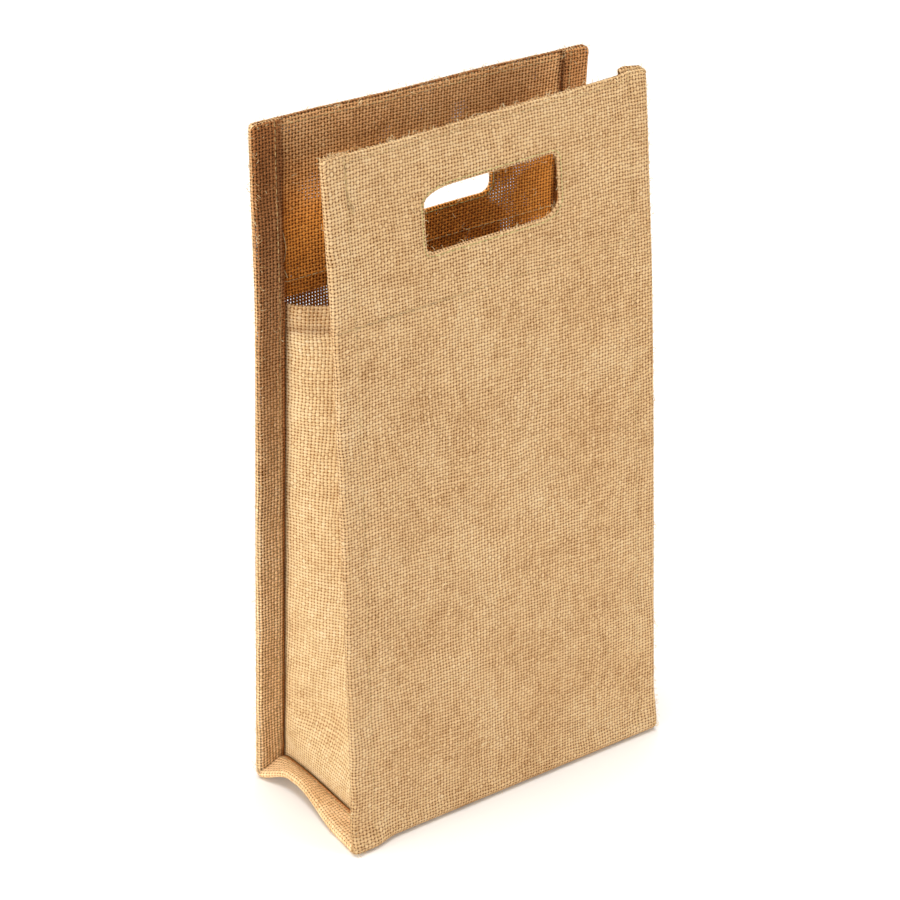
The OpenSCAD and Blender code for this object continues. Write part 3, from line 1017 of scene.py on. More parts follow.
@dataclass(frozen=True)
class Hessian:
    """Jute hessian: a plain weave of coarse, uneven, hairy yarn, natural straw to brown.

    The yarns' thick and thin places and the gaps between them give its look. Towards the gaps
    and the yarns' edges the colour is painted darker, down to the gap colour, as painted shade;
    only a see-through cloth has real holes. Widths, shifts and scales are in yarns, which are
    1.735 mm apart, and scales are for a noise.
    """

    name: str
    pale: str
    middle: str
    dark: str
    # The colour of the painted shade between the yarns.
    gap: str
    # The tint of painted light: light come through the cloth, and shade inside the bag.
    painted_light_tint: str = "#f3bd72"
    # The colour that painted shade darkens towards.
    painted_shade: str = "#7b4c22"
    pitch: float = 1.735 * MM
    see_through: bool = False
    yarn: float = 0.71
    warp_over_weft: float = 0.1
    slub: float = 0.17
    wander: float = 0.36
    wander_scale: float = 0.085
    sway: float = 1.0
    sway_scale: float = 0.022
    patch: float = 0.22
    patch_scale: float = 0.05
    tones: tuple[float, float, float] = (0.36, 0.62, 0.98)
    # Heights over which the painted shade at the yarns' edges gives way to the yarns' own colour.
    crown: tuple[float, float] = (-0.02, 0.56)
    shift: float = 0.0
    relief: float = 0.6 * MM

    def make(self) -> Material:
        """Builds the woven material, which follows the cloth's own flat layout."""
        material, tree = bare_material(self.name)
        flat = node(tree, "ShaderNodeUVMap", uv_map="Cloth").outputs[0]
        threads = node(tree, "ShaderNodeMapping", {0: flat, 1: (self.shift, self.shift * 1.37, self.shift),
                                                   3: (1 / self.pitch, 1 / self.pitch, 1)}).outputs[0]
        moved = threads
        for scale, reach, detail in ((self.wander_scale, self.wander, 2.0),
                                     (self.sway_scale, self.sway, 1.0)):
            push = node(tree, NOISE, {"Vector": threads, "Scale": scale, "Detail": detail},
                        noise_dimensions="2D").outputs[1]
            moved = node(tree, VECTOR_MATH, {0: push, 1: (reach * 2,) * 3, 2: moved},
                         operation="MULTIPLY_ADD").outputs[0]
        parts = node(tree, "ShaderNodeSeparateXYZ", {0: moved})
        warp = self.yarn_set(tree, parts.outputs[0], parts.outputs[1], 3.1, 1.0)
        weft = self.yarn_set(tree, parts.outputs[1], parts.outputs[0], 71.7, -1.0)
        height, solid, warp_top = (
            node(tree, MATH, {0: warp[part], 1: weft[part]}, operation=rule).outputs[0]
            for part, rule in (("height", "MAXIMUM"), ("there", "MAXIMUM"), ("height", "GREATER_THAN")))
        tone = node(tree, MIX, {0: warp_top, 2: weft["tone"], 3: warp["tone"]}).outputs[0]
        patch = node(tree, NOISE, {"Vector": threads, "Scale": self.patch_scale, "Detail": 3.0},
                     noise_dimensions="2D").outputs[0]
        tone = node(tree, MATH, {0: patch, 1: self.patch, 2: tone}, operation="MULTIPLY_ADD").outputs[0]
        colour = node(tree, "ShaderNodeValToRGB", {0: tone})
        ramp = colour.color_ramp
        ramp.elements[0].position, ramp.elements[0].color = self.tones[0], linear(self.dark)
        ramp.elements[1].position, ramp.elements[1].color = self.tones[2], linear(self.pale)
        ramp.elements.new(self.tones[1]).color = linear(self.middle)
        # Painted shade: the colour runs down to the gap colour towards the gaps and the yarns' edges.
        crown = node(tree, "ShaderNodeMapRange", {0: height, 1: self.crown[0], 2: self.crown[1],
                                                  3: 0.0, 4: 1.0}).outputs[0]
        shaded = node(tree, MIX, {0: crown, 6: linear(self.gap), 7: colour.outputs[0]},
                      data_type="RGBA").outputs[2]
        # Painted light and painted shade, from the cloth's "inside" and "shade" marks.
        for mark, tint in (("inside", self.painted_light_tint), ("shade", self.painted_shade)):
            share = node(tree, "ShaderNodeAttribute", attribute_name=mark).outputs["Fac"]
            shaded = node(tree, MIX, {0: share, 6: shaded, 7: linear(tint)}, data_type="RGBA",
                          blend_type="MULTIPLY").outputs[2]
        bump = node(tree, "ShaderNodeBump", {"Strength": 1.0, "Distance": self.relief,
                                             "Height": height}).outputs[0]
        shader = node(tree, "ShaderNodeBsdfPrincipled", {
            "Base Color": shaded, "Roughness": 0.95, "IOR": 1.45, "Specular IOR Level": 0.08,
            "Sheen Weight": 0.08, "Sheen Roughness": 0.55, "Sheen Tint": linear(self.middle),
            "Alpha": solid if self.see_through else 1.0, "Normal": bump})
        node(tree, "ShaderNodeOutputMaterial", {0: shader.outputs[0]})
        return material

    def yarn_set(self, tree: NodeTree, across: NodeSocket, along: NodeSocket, seed: float,
                 sign: float) -> dict[str, NodeSocket]:
        """One of the two sets of parallel yarns.

        Args:
            tree: The material's tree.
            across: Coordinate across the yarns, one yarn to a unit.
            along: Coordinate along the yarns, one crossing to a unit.
            seed: Where this set's uneven places start.
            sign: 1 or -1, for which set goes over first.

        Returns:
            Sockets for its height, its tone and where it is there.
        """
        made = {"across": across, "along": along}
        thick = self.yarn + self.warp_over_weft * sign
        self.reckon(tree, made, (
            ("number", "FLOOR", "across"),
            ("offset", "SUBTRACT", "across", "number"),
            ("centred", "MULTIPLY_ADD", "offset", 2.0, -1.0),
            ("lane", "MULTIPLY_ADD", "number", 5.37, seed),
            ("slow", "MULTIPLY", "along", 0.19)))
        spot = node(tree, VECTOR, {0: made["lane"], 1: made["slow"]}).outputs[0]
        made["uneven"] = node(tree, NOISE, {"Vector": spot, "Scale": 1.0, "Detail": 2.0},
                              noise_dimensions="2D").outputs[0]
        self.reckon(tree, made, (
            ("width", "MULTIPLY_ADD", "uneven", 2 * self.slub, thick - self.slub),
            ("share", "DIVIDE", "centred", "width"),
            ("square", "MULTIPLY", "share", "share"),
            ("left", "SUBTRACT", 1.0, "square"),
            ("inside", "MAXIMUM", "left", 0.0),
            ("there", "GREATER_THAN", "inside", 0.0),
            ("round_top", "POWER", "inside", 0.5),
            ("parity", "FLOORED_MODULO", "number", 2.0),
            ("turn", "MULTIPLY_ADD", "parity", -2.0 * sign, sign),
            ("angle", "MULTIPLY", "along", math.pi),
            ("ride", "SINE", "angle"),
            ("over", "MULTIPLY", "ride", "turn"),
            ("crown", "MULTIPLY_ADD", "round_top", 0.5, -0.1),
            ("twist", "MULTIPLY_ADD", "along", 0.55, "centred")))
        fibre_spot = node(tree, VECTOR, {0: made["lane"], 1: made["slow"], 2: made["twist"]}).outputs[0]
        made["fibre"] = node(tree, NOISE, {"Vector": fibre_spot, "Scale": 3.2, "Detail": 3.0}).outputs[0]
        self.reckon(tree, made, (
            ("lift", "MULTIPLY_ADD", "over", 0.36, "crown"),
            ("hairy", "MULTIPLY_ADD", "fibre", 0.16, "lift"),
            ("lost", "MULTIPLY_ADD", "there", 2.0, -2.0),
            ("height", "ADD", "hairy", "lost"),
            ("own", "MULTIPLY_ADD", "uneven", 0.30, 0.19),
            ("tone", "MULTIPLY_ADD", "fibre", 0.30, "own")))
        return made

    def reckon(self, tree: NodeTree, made: dict[str, NodeSocket], steps: tuple[tuple, ...]) -> None:
        """Works out sums in order, each named, from sockets made before and plain numbers.

        Args:
            tree: The material's tree.
            made: The sockets so far, by name, which gets the new ones too.
            steps: For each sum its name, its rule, and what it takes.
        """
        for name, rule, *taken in steps:
            wired = {place: made.get(value, value) for place, value in enumerate(taken)}
            made[name] = node(tree, MATH, wired, operation=rule).outputs[0]


@dataclass(frozen=True)
class SewingThread:
    """Spun sewing thread, two plies twisted: a fine slanting ply and a soft sheen."""

    name: str
    pale: str
    dark: str
    ply: float = 0.5 * MM

    def make(self) -> Material:
        """Builds the thread's material on the object's own coordinates."""
        material, tree = bare_material(self.name)
        where = node(tree, "ShaderNodeTexCoord").outputs["Object"]
        ply = node(tree, "ShaderNodeTexWave", {
            "Vector": where, "Scale": 1 / (20 * self.ply), "Distortion": 1.5, "Detail": 1.0},
            bands_direction="DIAGONAL").outputs[1]
        fleck = node(tree, NOISE, {"Vector": where, "Scale": 260.0, "Detail": 2.0}).outputs[0]
        tone = node(tree, MATH, {0: ply, 1: 0.5, 2: fleck}, operation="MULTIPLY_ADD").outputs[0]
        colour = node(tree, "ShaderNodeValToRGB", {0: tone})
        colour.color_ramp.elements[0].position, colour.color_ramp.elements[0].color = 0.35, linear(self.dark)
        colour.color_ramp.elements[1].position, colour.color_ramp.elements[1].color = 0.95, linear(self.pale)
        bump = node(tree, "ShaderNodeBump", {"Strength": 0.5, "Distance": 0.1 * MM, "Height": ply}).outputs[0]
        shader = node(tree, "ShaderNodeBsdfPrincipled", {
            "Base Color": colour.outputs[0], "Roughness": 0.7, "Sheen Weight": 0.3, "Normal": bump})
        node(tree, "ShaderNodeOutputMaterial", {0: shader.outputs[0]})
        return material


@dataclass(frozen=True)
class JuteFibre:
    """Loose jute fibre: dry, pale hairs that catch the light, some of them browner."""

    name: str
    pale: str
    dark: str

    def make(self) -> Material:
        """Builds the fibre's material on the object's own coordinates."""
        material, tree = bare_material(self.name)
        where = node(tree, "ShaderNodeTexCoord").outputs["Object"]
        fleck = node(tree, NOISE, {"Vector": where, "Scale": 420.0, "Detail": 1.0}).outputs[0]
        colour = node(tree, "ShaderNodeValToRGB", {0: fleck})
        colour.color_ramp.elements[0].position, colour.color_ramp.elements[0].color = 0.35, linear(self.dark)
        colour.color_ramp.elements[1].position, colour.color_ramp.elements[1].color = 0.65, linear(self.pale)
        shader = node(tree, "ShaderNodeBsdfPrincipled", {"Base Color": colour.outputs[0], "Roughness": 0.8})
        node(tree, "ShaderNodeOutputMaterial", {0: shader.outputs[0]})
        return material


class GrowthTree:
    """Geometry Nodes that repeat a small part along or over a piece, kept at last as plain mesh."""

    def __init__(self, name: str, material: Material, source: str, sizes: tuple[str, ...],
                 result: str) -> None:
        """Starts the tree with its named inputs and its output.

        Args:
            name: The tree's name.
            material: The material of the parts.
            source: Name of the geometry that goes in.
            sizes: Names of the sizes that go in.
            result: Name of the geometry that comes out.
        """
        self.material = material
        self.tree = bpy.data.node_groups.new(name, "GeometryNodeTree")
        for label, kind in ((source, "Geometry"), *((size, "Float") for size in sizes), ("Seed", "Int")):
            self.tree.interface.new_socket(label, in_out="INPUT", socket_type="NodeSocket" + kind)
        self.tree.interface.new_socket(result, in_out="OUTPUT", socket_type="NodeSocketGeometry")
        self.given = node(self.tree, "NodeGroupInput").outputs

    def at_random(self, kind: str, wired: dict) -> Node:
        """A random value of a kind, between the two given, from the tree's seed."""
        wired["Seed"] = self.given["Seed"]
        return node(self.tree, "FunctionNodeRandomValue", wired, data_type=kind)

    def strand(self, shape: tuple[dict, dict, dict], steps: int, sides: int, radius: NodeSocket,
               capped: bool) -> NodeSocket:
        """One bowed strand.

        Args:
            shape: The parts of its start, its middle and its end.
            steps: How many steps it has along.
            sides: How many sides it has round.
            radius: Its radius.
            capped: True to close its ends.

        Returns:
            The strand's mesh.
        """
        tree = self.tree
        start, middle, finish = (node(tree, VECTOR, parts).outputs[0] for parts in shape)
        bow = node(tree, "GeometryNodeCurveQuadraticBezier",
                   {0: steps, 1: start, 2: middle, 3: finish}).outputs[0]
        ring = node(tree, "GeometryNodeCurvePrimitiveCircle", {0: sides, 4: radius}).outputs[0]
        return node(tree, "GeometryNodeCurveToMesh", {0: bow, 1: ring, "Fill Caps": capped}).outputs[0]

    def repeat(self, stood: dict[str, NodeSocket], least: tuple[float, ...], most: tuple[float, ...]) -> None:
        """Stands a part on points, turns each a little, and makes them real and dressed.

        Args:
            stood: The points, the part, its rotation and its scale, by socket name.
            least: Least turn about each axis.
            most: Most turn about each axis.
        """
        turn = self.at_random("FLOAT_VECTOR", {0: least, 1: most}).outputs[0]
        last = node(self.tree, "GeometryNodeInstanceOnPoints", stood).outputs[0]
        for kind, wired in (("GeometryNodeRotateInstances", {"Rotation": turn}),
                            ("GeometryNodeRealizeInstances", {}),
                            ("GeometryNodeSetMaterial", {"Material": self.material}),
                            ("NodeGroupOutput", {})):
            made = node(self.tree, kind, {0: last, **wired})
            last = made.outputs[0] if made.outputs else None

    def grow(self, piece: Object, values: dict[str, float]) -> Object:
        """Runs the tree on a piece and keeps the result as its mesh.

        Args:
            piece: The object that the tree starts from.
            values: The tree's named inputs.

        Returns:
            The piece with its new mesh.
        """
        grower = piece.modifiers.new("Grow", "NODES")
        grower.node_group = self.tree
        for item in self.tree.interface.items_tree:
            if item.item_type == "SOCKET" and item.in_out == "INPUT" and item.name in values:
                grower[item.identifier] = values[item.name]
        piece.update_tag()
        mesh = plain_mesh(piece)
        piece.modifiers.clear()
        piece.data = mesh
        mesh.materials.clear()
        mesh.materials.append(self.material)
        return piece


class FuzzTree(GrowthTree):
    """Stands loose fibres on a cloth, most where it is marked as worn."""

    fibre = {"Density": 4.0e5, "Length": 2.5 * MM, "Fibre radius": 0.08 * MM}
    root = 0.2 * MM

    def __init__(self, material: Material) -> None:
        """Builds the tree for one kind of fibre."""
        super().__init__("Loose fibres", material, "Cloth", tuple(self.fibre), "Fibres")
        tree, given = self.tree, self.given
        worn = node(tree, "GeometryNodeInputNamedAttribute", {"Name": "worn"}, data_type="FLOAT").outputs[0]
        many = node(tree, MATH, {0: worn, 1: given["Density"]}, operation="MULTIPLY").outputs[0]
        spots = node(tree, "GeometryNodeDistributePointsOnFaces", {
            "Mesh": given["Cloth"], "Density": many, "Seed": given["Seed"]}, distribute_method="RANDOM")
        half, aside = (node(tree, MATH, {0: given["Length"], 1: share}, operation="MULTIPLY").outputs[0]
                       for share in (0.5, 0.3))
        fibre = self.strand(({2: -self.root}, {0: half, 2: half}, {0: given["Length"], 1: aside, 2: aside}),
                            4, 3, given["Fibre radius"], capped=False)
        scale = self.at_random("FLOAT", {2: 0.3, 3: 1.3}).outputs[1]
        self.repeat({"Points": spots.outputs[0], "Instance": fibre, "Rotation": spots.outputs["Rotation"],
                     "Scale": scale}, (-0.5, -0.7, -math.pi), (0.5, 0.4, math.pi))

    def stand(self, cloth: Object, marks: Marks, hole_at: tuple[float, float] | None, seed: int) -> Object:
        """Stands loose fibres on a cloth as a piece of their own.

        Args:
            cloth: The cloth.
            marks: What says where it is worn.
            hole_at: Middle of the cloth's hand hole, if it has one.
            seed: Seed of where the fibres stand.

        Returns:
            The fibres as one plain mesh.
        """
        piece = in_scene(cloth.name.replace("cloth", "fibres"), cloth.data.copy())
        marks.wear(piece.data, hole_at)
        return self.grow(piece, {**self.fibre, "Seed": seed})


def lay_thread(name: str, paths: list[np.ndarray], radius: float, material: Material) -> Object:
    """Lays loose ends of thread as one piece.

    Args:
        name: The piece's name.
        paths: The points that each end passes near.
        radius: Radius of the thread.
        material: The thread's material.

    Returns:
        The thread as one plain mesh.
    """
    curve = bpy.data.curves.new(name, "CURVE")
    curve.dimensions = "3D"
    curve.bevel_depth = radius
    curve.bevel_resolution = 1
    curve.use_fill_caps = True
    for path in paths:
        line = curve.splines.new("NURBS")
        line.points.add(len(path) - 1)
        line.points.foreach_set("co", np.column_stack([path, np.ones(len(path))]).reshape(-1))
        line.use_endpoint_u = True
        line.order_u = 3
    holder = in_scene(name, curve)
    mesh = plain_mesh(holder)
    bpy.data.objects.remove(holder)
    mesh.materials.clear()
    mesh.materials.append(material)
    return in_scene(name, mesh)


@dataclass(frozen=True)
class StitchPlan:
    """How a row is sewn: its thread, its stitch and the step from stitch to stitch, in metres."""

    thread: Thread
    length: float
    pitch: float
    radius: float
    seed: int


class Seam(Enum):
    """The bag's kinds of seam."""

    SIDE = StitchPlan(Thread.SEAM, 3.4 * MM, 3.7 * MM, 0.19 * MM, 3)
    ROW = StitchPlan(Thread.SEAM, 3.4 * MM, 3.7 * MM, 0.22 * MM, 5)
    HOLE = StitchPlan(Thread.HOLE, 2.9 * MM, 3.1 * MM, 0.2 * MM, 7)
    BASE = StitchPlan(Thread.SEAM, 3.4 * MM, 3.7 * MM, 0.26 * MM, 9)
    HEM = StitchPlan(Thread.SEAM, 3.3 * MM, 3.6 * MM, 0.26 * MM, 11)


class StitchTree(GrowthTree):
    """Lays lockstitches along a row and sinks their ends in the cloth."""

    swing = 0.10
    rise = 1.6
    sink = 1.3

    def __init__(self, material: Material) -> None:
        """Builds the tree for one thread."""
        super().__init__("Stitch row in " + material.name, material, "Row",
                         ("Stitch length", "Pitch", "Thread radius", "Rise"), "Stitches")
        tree, given = self.tree, self.given
        half = node(tree, MATH, {0: given["Stitch length"], 1: 0.5}, operation="MULTIPLY").outputs[0]
        back = node(tree, MATH, {0: half, 1: -1.0}, operation="MULTIPLY").outputs[0]
        sunk = node(tree, MATH, {0: given["Thread radius"], 1: -self.sink}, operation="MULTIPLY").outputs[0]
        stitch = self.strand(({0: back, 2: sunk}, {2: given["Rise"]}, {0: half, 2: sunk}),
                             6, 6, given["Thread radius"], capped=True)
        curve = node(tree, "GeometryNodeMeshToCurve", {0: given["Row"]}).outputs[0]
        spaced = node(tree, "GeometryNodeResampleCurve", {0: curve, "Length": given["Pitch"]}, mode="LENGTH")
        facing = node(tree, "GeometryNodeInputNamedAttribute", {"Name": "facing"},
                      data_type="FLOAT_VECTOR").outputs[0]
        tangent = node(tree, "GeometryNodeInputTangent").outputs[0]
        along = node(tree, "FunctionNodeAlignRotationToVector", {"Vector": tangent}, axis="X").outputs[0]
        upright = node(tree, "FunctionNodeAlignRotationToVector", {"Rotation": along, "Vector": facing},
                       axis="Z", pivot_axis="X").outputs[0]
        self.repeat({"Points": spaced.outputs[0], "Instance": stitch, "Rotation": upright},
                    (0.0, 0.0, -self.swing), (0.0, 0.0, self.swing))

    def sew(self, name: str, rows: list[tuple[np.ndarray, np.ndarray, bool]], plan: StitchPlan) -> Object:
        """Sews rows of stitches as one piece.

        Args:
            name: The piece's name.
            rows: For each row its points, the directions out of the cloth, and if it is a ring.
            plan: How the rows are sewn.

        Returns:
            The stitches as one plain mesh.
        """
        points, edges, outs = [], [], []
        for line, out, ring in rows:
            start = len(points)
            points += line.tolist()
            outs += out.tolist()
            edges += [(start + k, start + k + 1) for k in range(len(line) - 1)]
            if ring:
                edges.append((start + len(line) - 1, start))
        mesh = bpy.data.meshes.new(name)
        mesh.from_pydata(points, edges, [])
        layer = mesh.attributes.new("facing", "FLOAT_VECTOR", "POINT")
        layer.data.foreach_set("vector", [v for out in outs for v in out])
        return self.grow(in_scene(name, mesh), {
            "Stitch length": plan.length, "Pitch": plan.pitch, "Thread radius": plan.radius,
            "Rise": self.rise * plan.radius, "Seed": plan.seed})


@dataclass(frozen=True)
class Studio:
    """Pale floor, soft lights and the camera."""

    eye: tuple[float, float, float] = (-0.8903, -1.1952, 0.9460)
    azimuth: float = -36.566
    elevation: float = 27.353
    roll: float = -0.186
    lens: float = 136.97
    centre: tuple[float, float, float] = (0.0, 0.0, 0.16)

    def make(self) -> None:
        """Sets the camera, the floor, the sky and the lamps."""
        scene = bpy.context.scene
        az, el = math.radians(self.azimuth), math.radians(self.elevation)
        back = Vector((math.sin(az) * math.cos(el), -math.cos(az) * math.cos(el), math.sin(el)))
        camera = in_scene("camera", bpy.data.cameras.new("camera"))
        camera.data.lens = self.lens
        camera.location = self.eye
        camera.rotation_mode = "QUATERNION"
        turn = Matrix.Rotation(math.radians(self.roll), 3, "Z").to_quaternion()
        camera.rotation_quaternion = (-back).to_track_quat("-Z", "Y") @ turn
        scene.camera = camera
        scene.view_settings.view_transform = "Standard"
        self.make_floor()
        world = bpy.data.worlds.new("studio")
        scene.world = world
        world.use_nodes = True
        world.node_tree.nodes["Background"].inputs[0].default_value = (1.0, 1.0, 1.0, 1.0)
        world.node_tree.nodes["Background"].inputs[1].default_value = 0.4
        self.lamp("front softbox", (1.7, -2.4, 0.6), 1.2, 52.0, (1.0, 0.985, 0.96))
        self.lamp("left softbox", (-2.5, 0.0, 0.5), 1.2, 58.0, (1.0, 0.985, 0.95))
        self.lamp("overhead softbox", (0.0, 0.2, 3.0), 2.4, 100.0, (1.0, 0.99, 0.98))

    def lamp(self, name: str, place: tuple[float, float, float], size: float, power: float,
             colour: tuple[float, float, float]) -> None:
        """Adds a square soft light that looks at the bag."""
        data = bpy.data.lights.new(name, "AREA")
        data.size, data.energy, data.color = size, power, colour
        lamp = in_scene(name, data)
        lamp.location = place
        lamp.rotation_mode = "QUATERNION"
        lamp.rotation_quaternion = (Vector(self.centre) - Vector(place)).to_track_quat("-Z", "Y")

    def make_floor(self) -> None:
        """Lays a plain pale floor under the bag."""
        mesh = bpy.data.meshes.new("floor")
        reach = 4.0
        mesh.from_pydata([(-reach, -reach, 0), (reach, -reach, 0), (reach, reach, 0), (-reach, reach, 0)], [],
                         [(0, 1, 2, 3)])
        floor = in_scene("floor", mesh)
        material = bpy.data.materials.new("Pale studio paper")
        material.use_nodes = True
        shader = material.node_tree.nodes["Principled BSDF"]
        shader.inputs["Base Color"].default_value = linear("#f7f6f4")
        shader.inputs["Roughness"].default_value = 0.9
        mesh.materials.append(material)


class GiftBag:
    """The whole bag: its cloths, its stitching and what each piece stands for."""

    def __init__(self) -> None:
        """Reads the sizes and sets how the walls stand."""
        self.sizes = BagSizes.from_frame()
        self.stack = ClothStack()
        self.settling = Settling()
        front = WallShape(Wall.FRONT, self.sizes, self.settling, lean_left=13.5 * MM, lean_right=19 * MM,
                          kink_left=5.4 * MM, kink_right=2.4 * MM, top_shift=1.7 * MM, right_bow=1.2 * MM,
                          bunched=(0.4 * MM, 2.6 * MM))
        back = WallShape(Wall.BACK, self.sizes, self.settling, lean_left=18.7 * MM, lean_right=22 * MM,
                         kink_left=-5.5 * MM, kink_right=1.6 * MM, top_shift=-0.9 * MM)
        tight, drawn, wide, even = ((a * MM, b * MM) for a, b in ((3.5, 3.5), (18, 6), (12, 8), (5, 5)))
        self.walls = {
            shape.wall: StripWall(shape, self.stack,
                                  HandHole(self.sizes, self.sizes.hole_at[shape.wall], corners))
            for shape, corners in ((front, (tight, drawn, tight, wide)), (back, (even,) * 4))
        }
        # Painted light: the front, back and base are one strip of the same hessian, but the back's and the
        # base's colours are painted lighter than the front's.
        self.cloths = {
            Wall.FRONT: Hessian("Jute hessian, the strip's front", "#e1d0ac", "#d1ad7f", "#a67949", "#5e310d",
                                slub=0.23, wander=0.6).make(),
            Wall.BACK: Hessian("Jute hessian, the strip's back", "#fff6d4", "#f8d09d", "#c6945c", "#6b3912",
                               see_through=True, yarn=0.60, slub=0.20, shift=5.21).make(),
            Cloth.BASE: Hessian("Jute hessian, the strip's base", "#fff6d4", "#f8d09d", "#c6945c", "#8a5522",
                                yarn=0.75, slub=0.2, shift=11.7).make(),
            Cloth.GUSSET: Hessian("Jute hessian, the gussets", "#efe3c4", "#debf90", "#b78d5c", "#8f5927",
                                  yarn=0.73, slub=0.24, wander=0.6, shift=17.3).make(),
        }
        self.threads = {
            Thread.SEAM: StitchTree(SewingThread("Natural sewing thread", "#bfa066", "#836538").make()),
            Thread.HOLE: StitchTree(SewingThread("Olive sewing thread", "#b7b06a", "#7f7a3c").make()),
        }
        self.fuzz = FuzzTree(JuteFibre("Loose jute fibre", "#efdcae", "#c39a5e").make())
        self.fuzz_seed = 20
        self.marks = Marks(self.sizes)

    def dress(self, piece: Object, cloth: Wall | Cloth) -> None:
        """Gives a cloth its material."""
        piece.data.materials.clear()
        piece.data.materials.append(self.cloths[cloth])

    def join(self, piece: Object, wall: Wall | None) -> None:
        """Lets a piece ride on the shell, or, given a wall, bakes its transform where it stands."""
        if wall is None:
            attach(piece, "shell")
            return
        reach = self.walls[wall].shape.place([0, 0], [self.stack.layer / 2] * 2,
                                             [self.sizes.bend_up - 1.5 * MM, self.sizes.bend_up + 13 * MM])
        tuple(reach[0])
        tuple(reach[1])
        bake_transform(piece)

    def stand_fibres(self, cloth: Object, wall: Wall | None = None) -> None:
        """Stands loose fibres on a cloth, to move as it does."""
        self.fuzz_seed += 1
        hole_at = self.sizes.hole_at[wall] if wall else None
        piece = self.fuzz.stand(cloth, self.marks, hole_at, self.fuzz_seed)
        self.join(piece, wall)

    def sew(self, name: str, seam: Seam, rows: list, wall: Wall | None, *stands_for: str) -> None:
        """Sews rows as one piece, which rides on the shell when no wall is given.

        Args:
            name: The piece's name.
            seam: Which kind of seam.
            rows: For each row its points, the directions out of the cloth, and if it is a ring.
            wall: The wall that it is sewn on, if any.
            stands_for: The frame's nodes that it takes the place of.
        """
        thread = seam.value.thread
        piece = self.threads[thread].sew(name, rows, seam.value)
        self.join(piece, wall)
        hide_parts(*stands_for)

    def make_walls(self) -> None:
        """Makes the two long walls and the base between them."""
        size, stack = self.sizes, self.stack
        for wall, strip in self.walls.items():
            side = wall.name.lower()
            piece = strip.make(f"{side}_wall_cloth")
            self.marks.light(piece, (0.0, -wall.value, 0.0), size.half_d + size.wall_h)
            self.dress(piece, wall)
            self.join(piece, wall)
            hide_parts(f"{side}_panel", f"{side}_flap", f"{side}_facing", f"{side}_left_fold",
                        f"{side}_right_fold", f"{side}_flap_left_fold", f"{side}_flap_right_fold")
            self.stand_fibres(piece, wall)
            LOG.info("made %s", piece.name)
        base = BaseCloth(self.walls[Wall.FRONT], self.settling).make("base_cloth")
        self.marks.light(base, (0.0, 0.0, 1.0))
        self.dress(base, Cloth.BASE)
        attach(base, "shell")
        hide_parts("base_panel", "base_left_fold", "base_right_fold")
        self.stand_fibres(base)
        LOG.info("made %s", base.name)

    def make_gussets(self) -> None:
        """Makes the two gussets."""
        fold = GussetFold()
        for end in End:
            side = end.name.lower()
            gusset = Gusset(end, self.walls[Wall.FRONT], self.walls[Wall.BACK], self.settling, fold)
            piece = gusset.make(f"{side}_gusset_cloth")
            self.marks.light(piece, (-end.value, 0.0, 0.0), hemmed=True)
            self.dress(piece, Cloth.GUSSET)
            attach(piece, "shell")
            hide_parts(f"{side}_gusset", f"{side}_gusset_hem")
            self.stand_fibres(piece)
            self.sew_hem(gusset, side)
            LOG.info("made %s", piece.name)

    def sew_hem(self, gusset: Gusset, side: str) -> None:
        """Sews the row that holds a gusset's hem."""
        rows_down = int(round((self.sizes.hem_h - 1.5 * MM) / (self.sizes.gusset_up / gusset.fold.up)))
        line, within = gusset.web[-1 - rows_down], gusset.inward(gusset.web)[-1 - rows_down]
        lines = [(line, -within, False), (line + within * self.stack.facing_at, within, False)]
        self.sew(f"{side}_hem_stitches", Seam.HEM, lines, None, f"{side}_hem_thread")

    def on_wall(self, wall: Wall, x: np.ndarray, up: np.ndarray, inside: bool, fold: bool) -> tuple:
        """A row on a wall's outer face, or on its inner one.

        Args:
            wall: Which wall.
            x: Places across it.
            up: Heights along it.
            inside: True for the face that looks into the bag.
            fold: True where the side fold covers the inner face.

        Returns:
            The row's points and the directions out of the cloth.
        """
        strip = self.walls[wall]
        depth = 0.0
        if inside:
            depth = self.stack.fold_at if fold else self.stack.facing_at
        x, up = np.broadcast_arrays(np.asarray(x, float), np.asarray(up, float))
        points = strip.place(x, depth, up)
        out = unit(strip.place(x, depth + MM, up) - points)
        return points, out if inside else -out

    def sew_walls(self) -> None:
        """Sews the side seams, the top rows, the facing rows and the hand holes' rows."""
        size = self.sizes
        ups = np.linspace(self.stack.base_turn + 3 * MM, size.wall_h - 2 * MM, 120)
        across = np.linspace(-size.seam_x, size.seam_x, 60)
        inner = np.linspace(-size.half_w + size.fold_w, size.half_w - size.fold_w, 60)
        for wall, strip in self.walls.items():
            side = wall.name.lower()
            for end in End:
                x, which = end.value * size.seam_x, end.name.lower()
                rows = [(*self.on_wall(wall, x, ups, inside, True), False) for inside in (False, True)]
                self.sew(f"{side}_{which}_seam_stitches", Seam.SIDE, rows, wall,
                         f"{side}_{which}_thread", f"{side}_flap_{which}_thread")
            for label, up in (("top", size.top_row_up), ("facing", size.facing_row_up)):
                rows = [(*self.on_wall(wall, x, up, inside, False), False)
                        for x, inside in ((across, False), (inner, True))]
                self.sew(f"{side}_{label}_stitches", Seam.ROW, rows, wall, f"{side}_{label}_thread")
            x, up = strip.hole.ring(1.8 * MM)
            rows = [(*self.on_wall(wall, x, up, inside, False), True) for inside in (False, True)]
            self.sew(f"{side}_hand_hole_stitches", Seam.HOLE, rows, wall, f"{side}_hand_thread")
            LOG.info("sewed the %s wall", side)

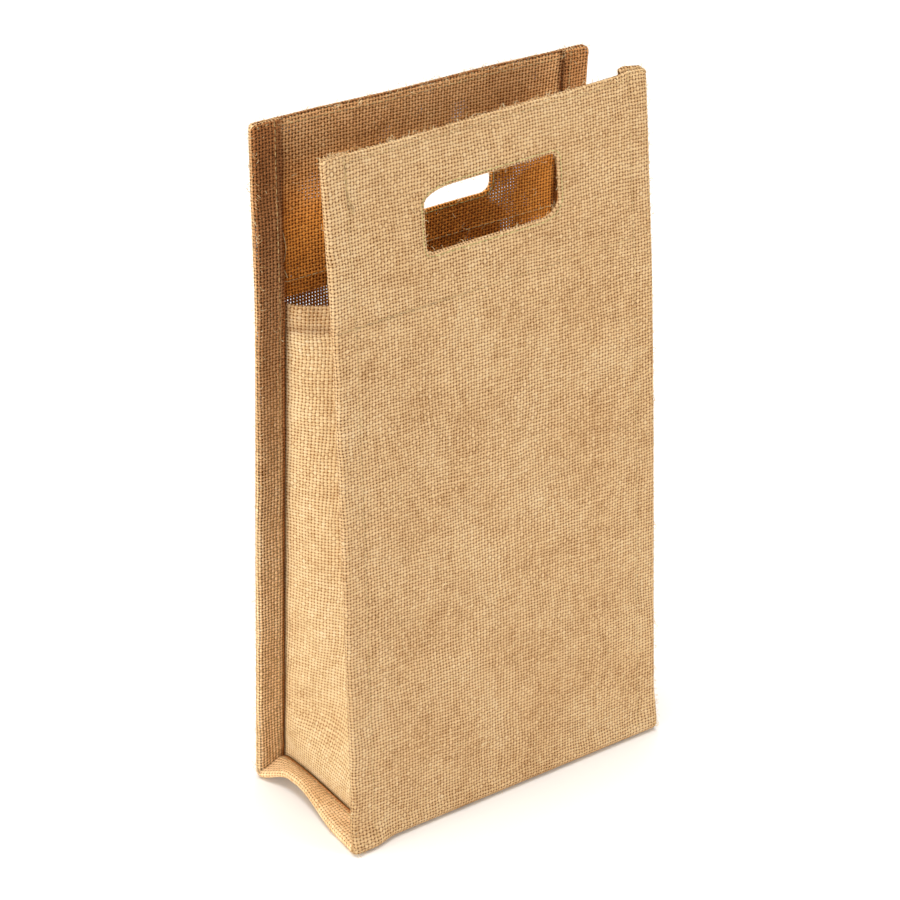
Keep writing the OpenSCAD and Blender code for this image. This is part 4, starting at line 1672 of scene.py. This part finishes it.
    def sew_base(self) -> None:
        """Sews the base's two side seams."""
        size = self.sizes
        reach = size.half_d - self.stack.base_turn - 2 * MM
        y = np.linspace(-reach, reach, 40)
        for end in End:
            x = np.full(len(y), end.value * size.seam_x)
            line = np.stack([x, y, np.full(len(y), self.stack.fold_at)], axis=1)
            rows = [(self.settling.apply(line, size), np.tile([0.0, 0.0, 1.0], (len(y), 1)), False)]
            name = f"base_{end.name.lower()}"
            self.sew(f"{name}_seam_stitches", Seam.BASE, rows, None, f"{name}_thread")

    def lay_ends(self) -> None:
        """Lays the loose ends where rows of stitching start and stop.

        Each end runs through points in mm: across the wall, below its top, off the cloth.
        """
        size = self.sizes
        seam, edge = size.seam_x / MM, (size.half_w - size.fold_w) / MM
        row = (size.wall_h - size.facing_row_up) / MM
        ends = {
            (Wall.FRONT, False): [
                [(-seam, 4, 0.4), (-seam, 10, 0.7), (-seam, 16, 0.5), (1 - seam, 24, 1.0),
                 (2 - seam, 28, 0.5)],
                [(-seam, 18, 0.4), (1 - seam, 22, 0.9), (2.6 - seam, 25, 1.2), (2.8 - seam, 28, 0.4)],
                [(-seam - 11, row, 0.2), (20 - seam, row, 0.4), (50 - seam, row, 0.3),
                 (76 - seam, row, 0.0)]],
            (Wall.BACK, True): [
                [(0.6 - edge, 55, 0.4), (1.5 - edge, 62, 2.5), (2 - edge, 68, 1.6), (1 - edge, 73, 0.4)],
                [(1 - edge, row - 7, 0.4), (2 - edge, row - 4, 2.2), (3 - edge, row - 2, 0.5)],
                [(24 - edge, row - 3, 0.4), (26 - edge, row, 2.4), (28 - edge, row - 3, 1.6),
                 (26 - edge, row - 5, 0.5)],
                [(-14, 65, 0.4), (-13, 69, 1.8), (-9, 72, 1.4), (-8, 76, 0.4)]],
        }
        for (wall, inside), paths in ends.items():
            laid = []
            for path in paths:
                across, below, off = np.array(path).T * MM
                points, out = self.on_wall(wall, across, size.wall_h - below, inside, False)
                laid.append(points + out * off[:, None])
            thread = self.threads[Thread.SEAM].material
            piece = lay_thread(f"{wall.name.lower()}_thread_ends", laid, 0.2 * MM, thread)
            self.join(piece, wall)

    def make(self) -> None:
        """Makes every piece in order."""
        self.make_walls()
        self.make_gussets()
        self.sew_walls()
        self.sew_base()
        self.lay_ends()


def main() -> None:
    """Builds the studio and the bag."""
    logging.basicConfig(level=logging.INFO, format="%(name)s: %(message)s")
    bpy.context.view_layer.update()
    Studio().make()
    GiftBag().make()


if __name__ == "__main__":
    main()
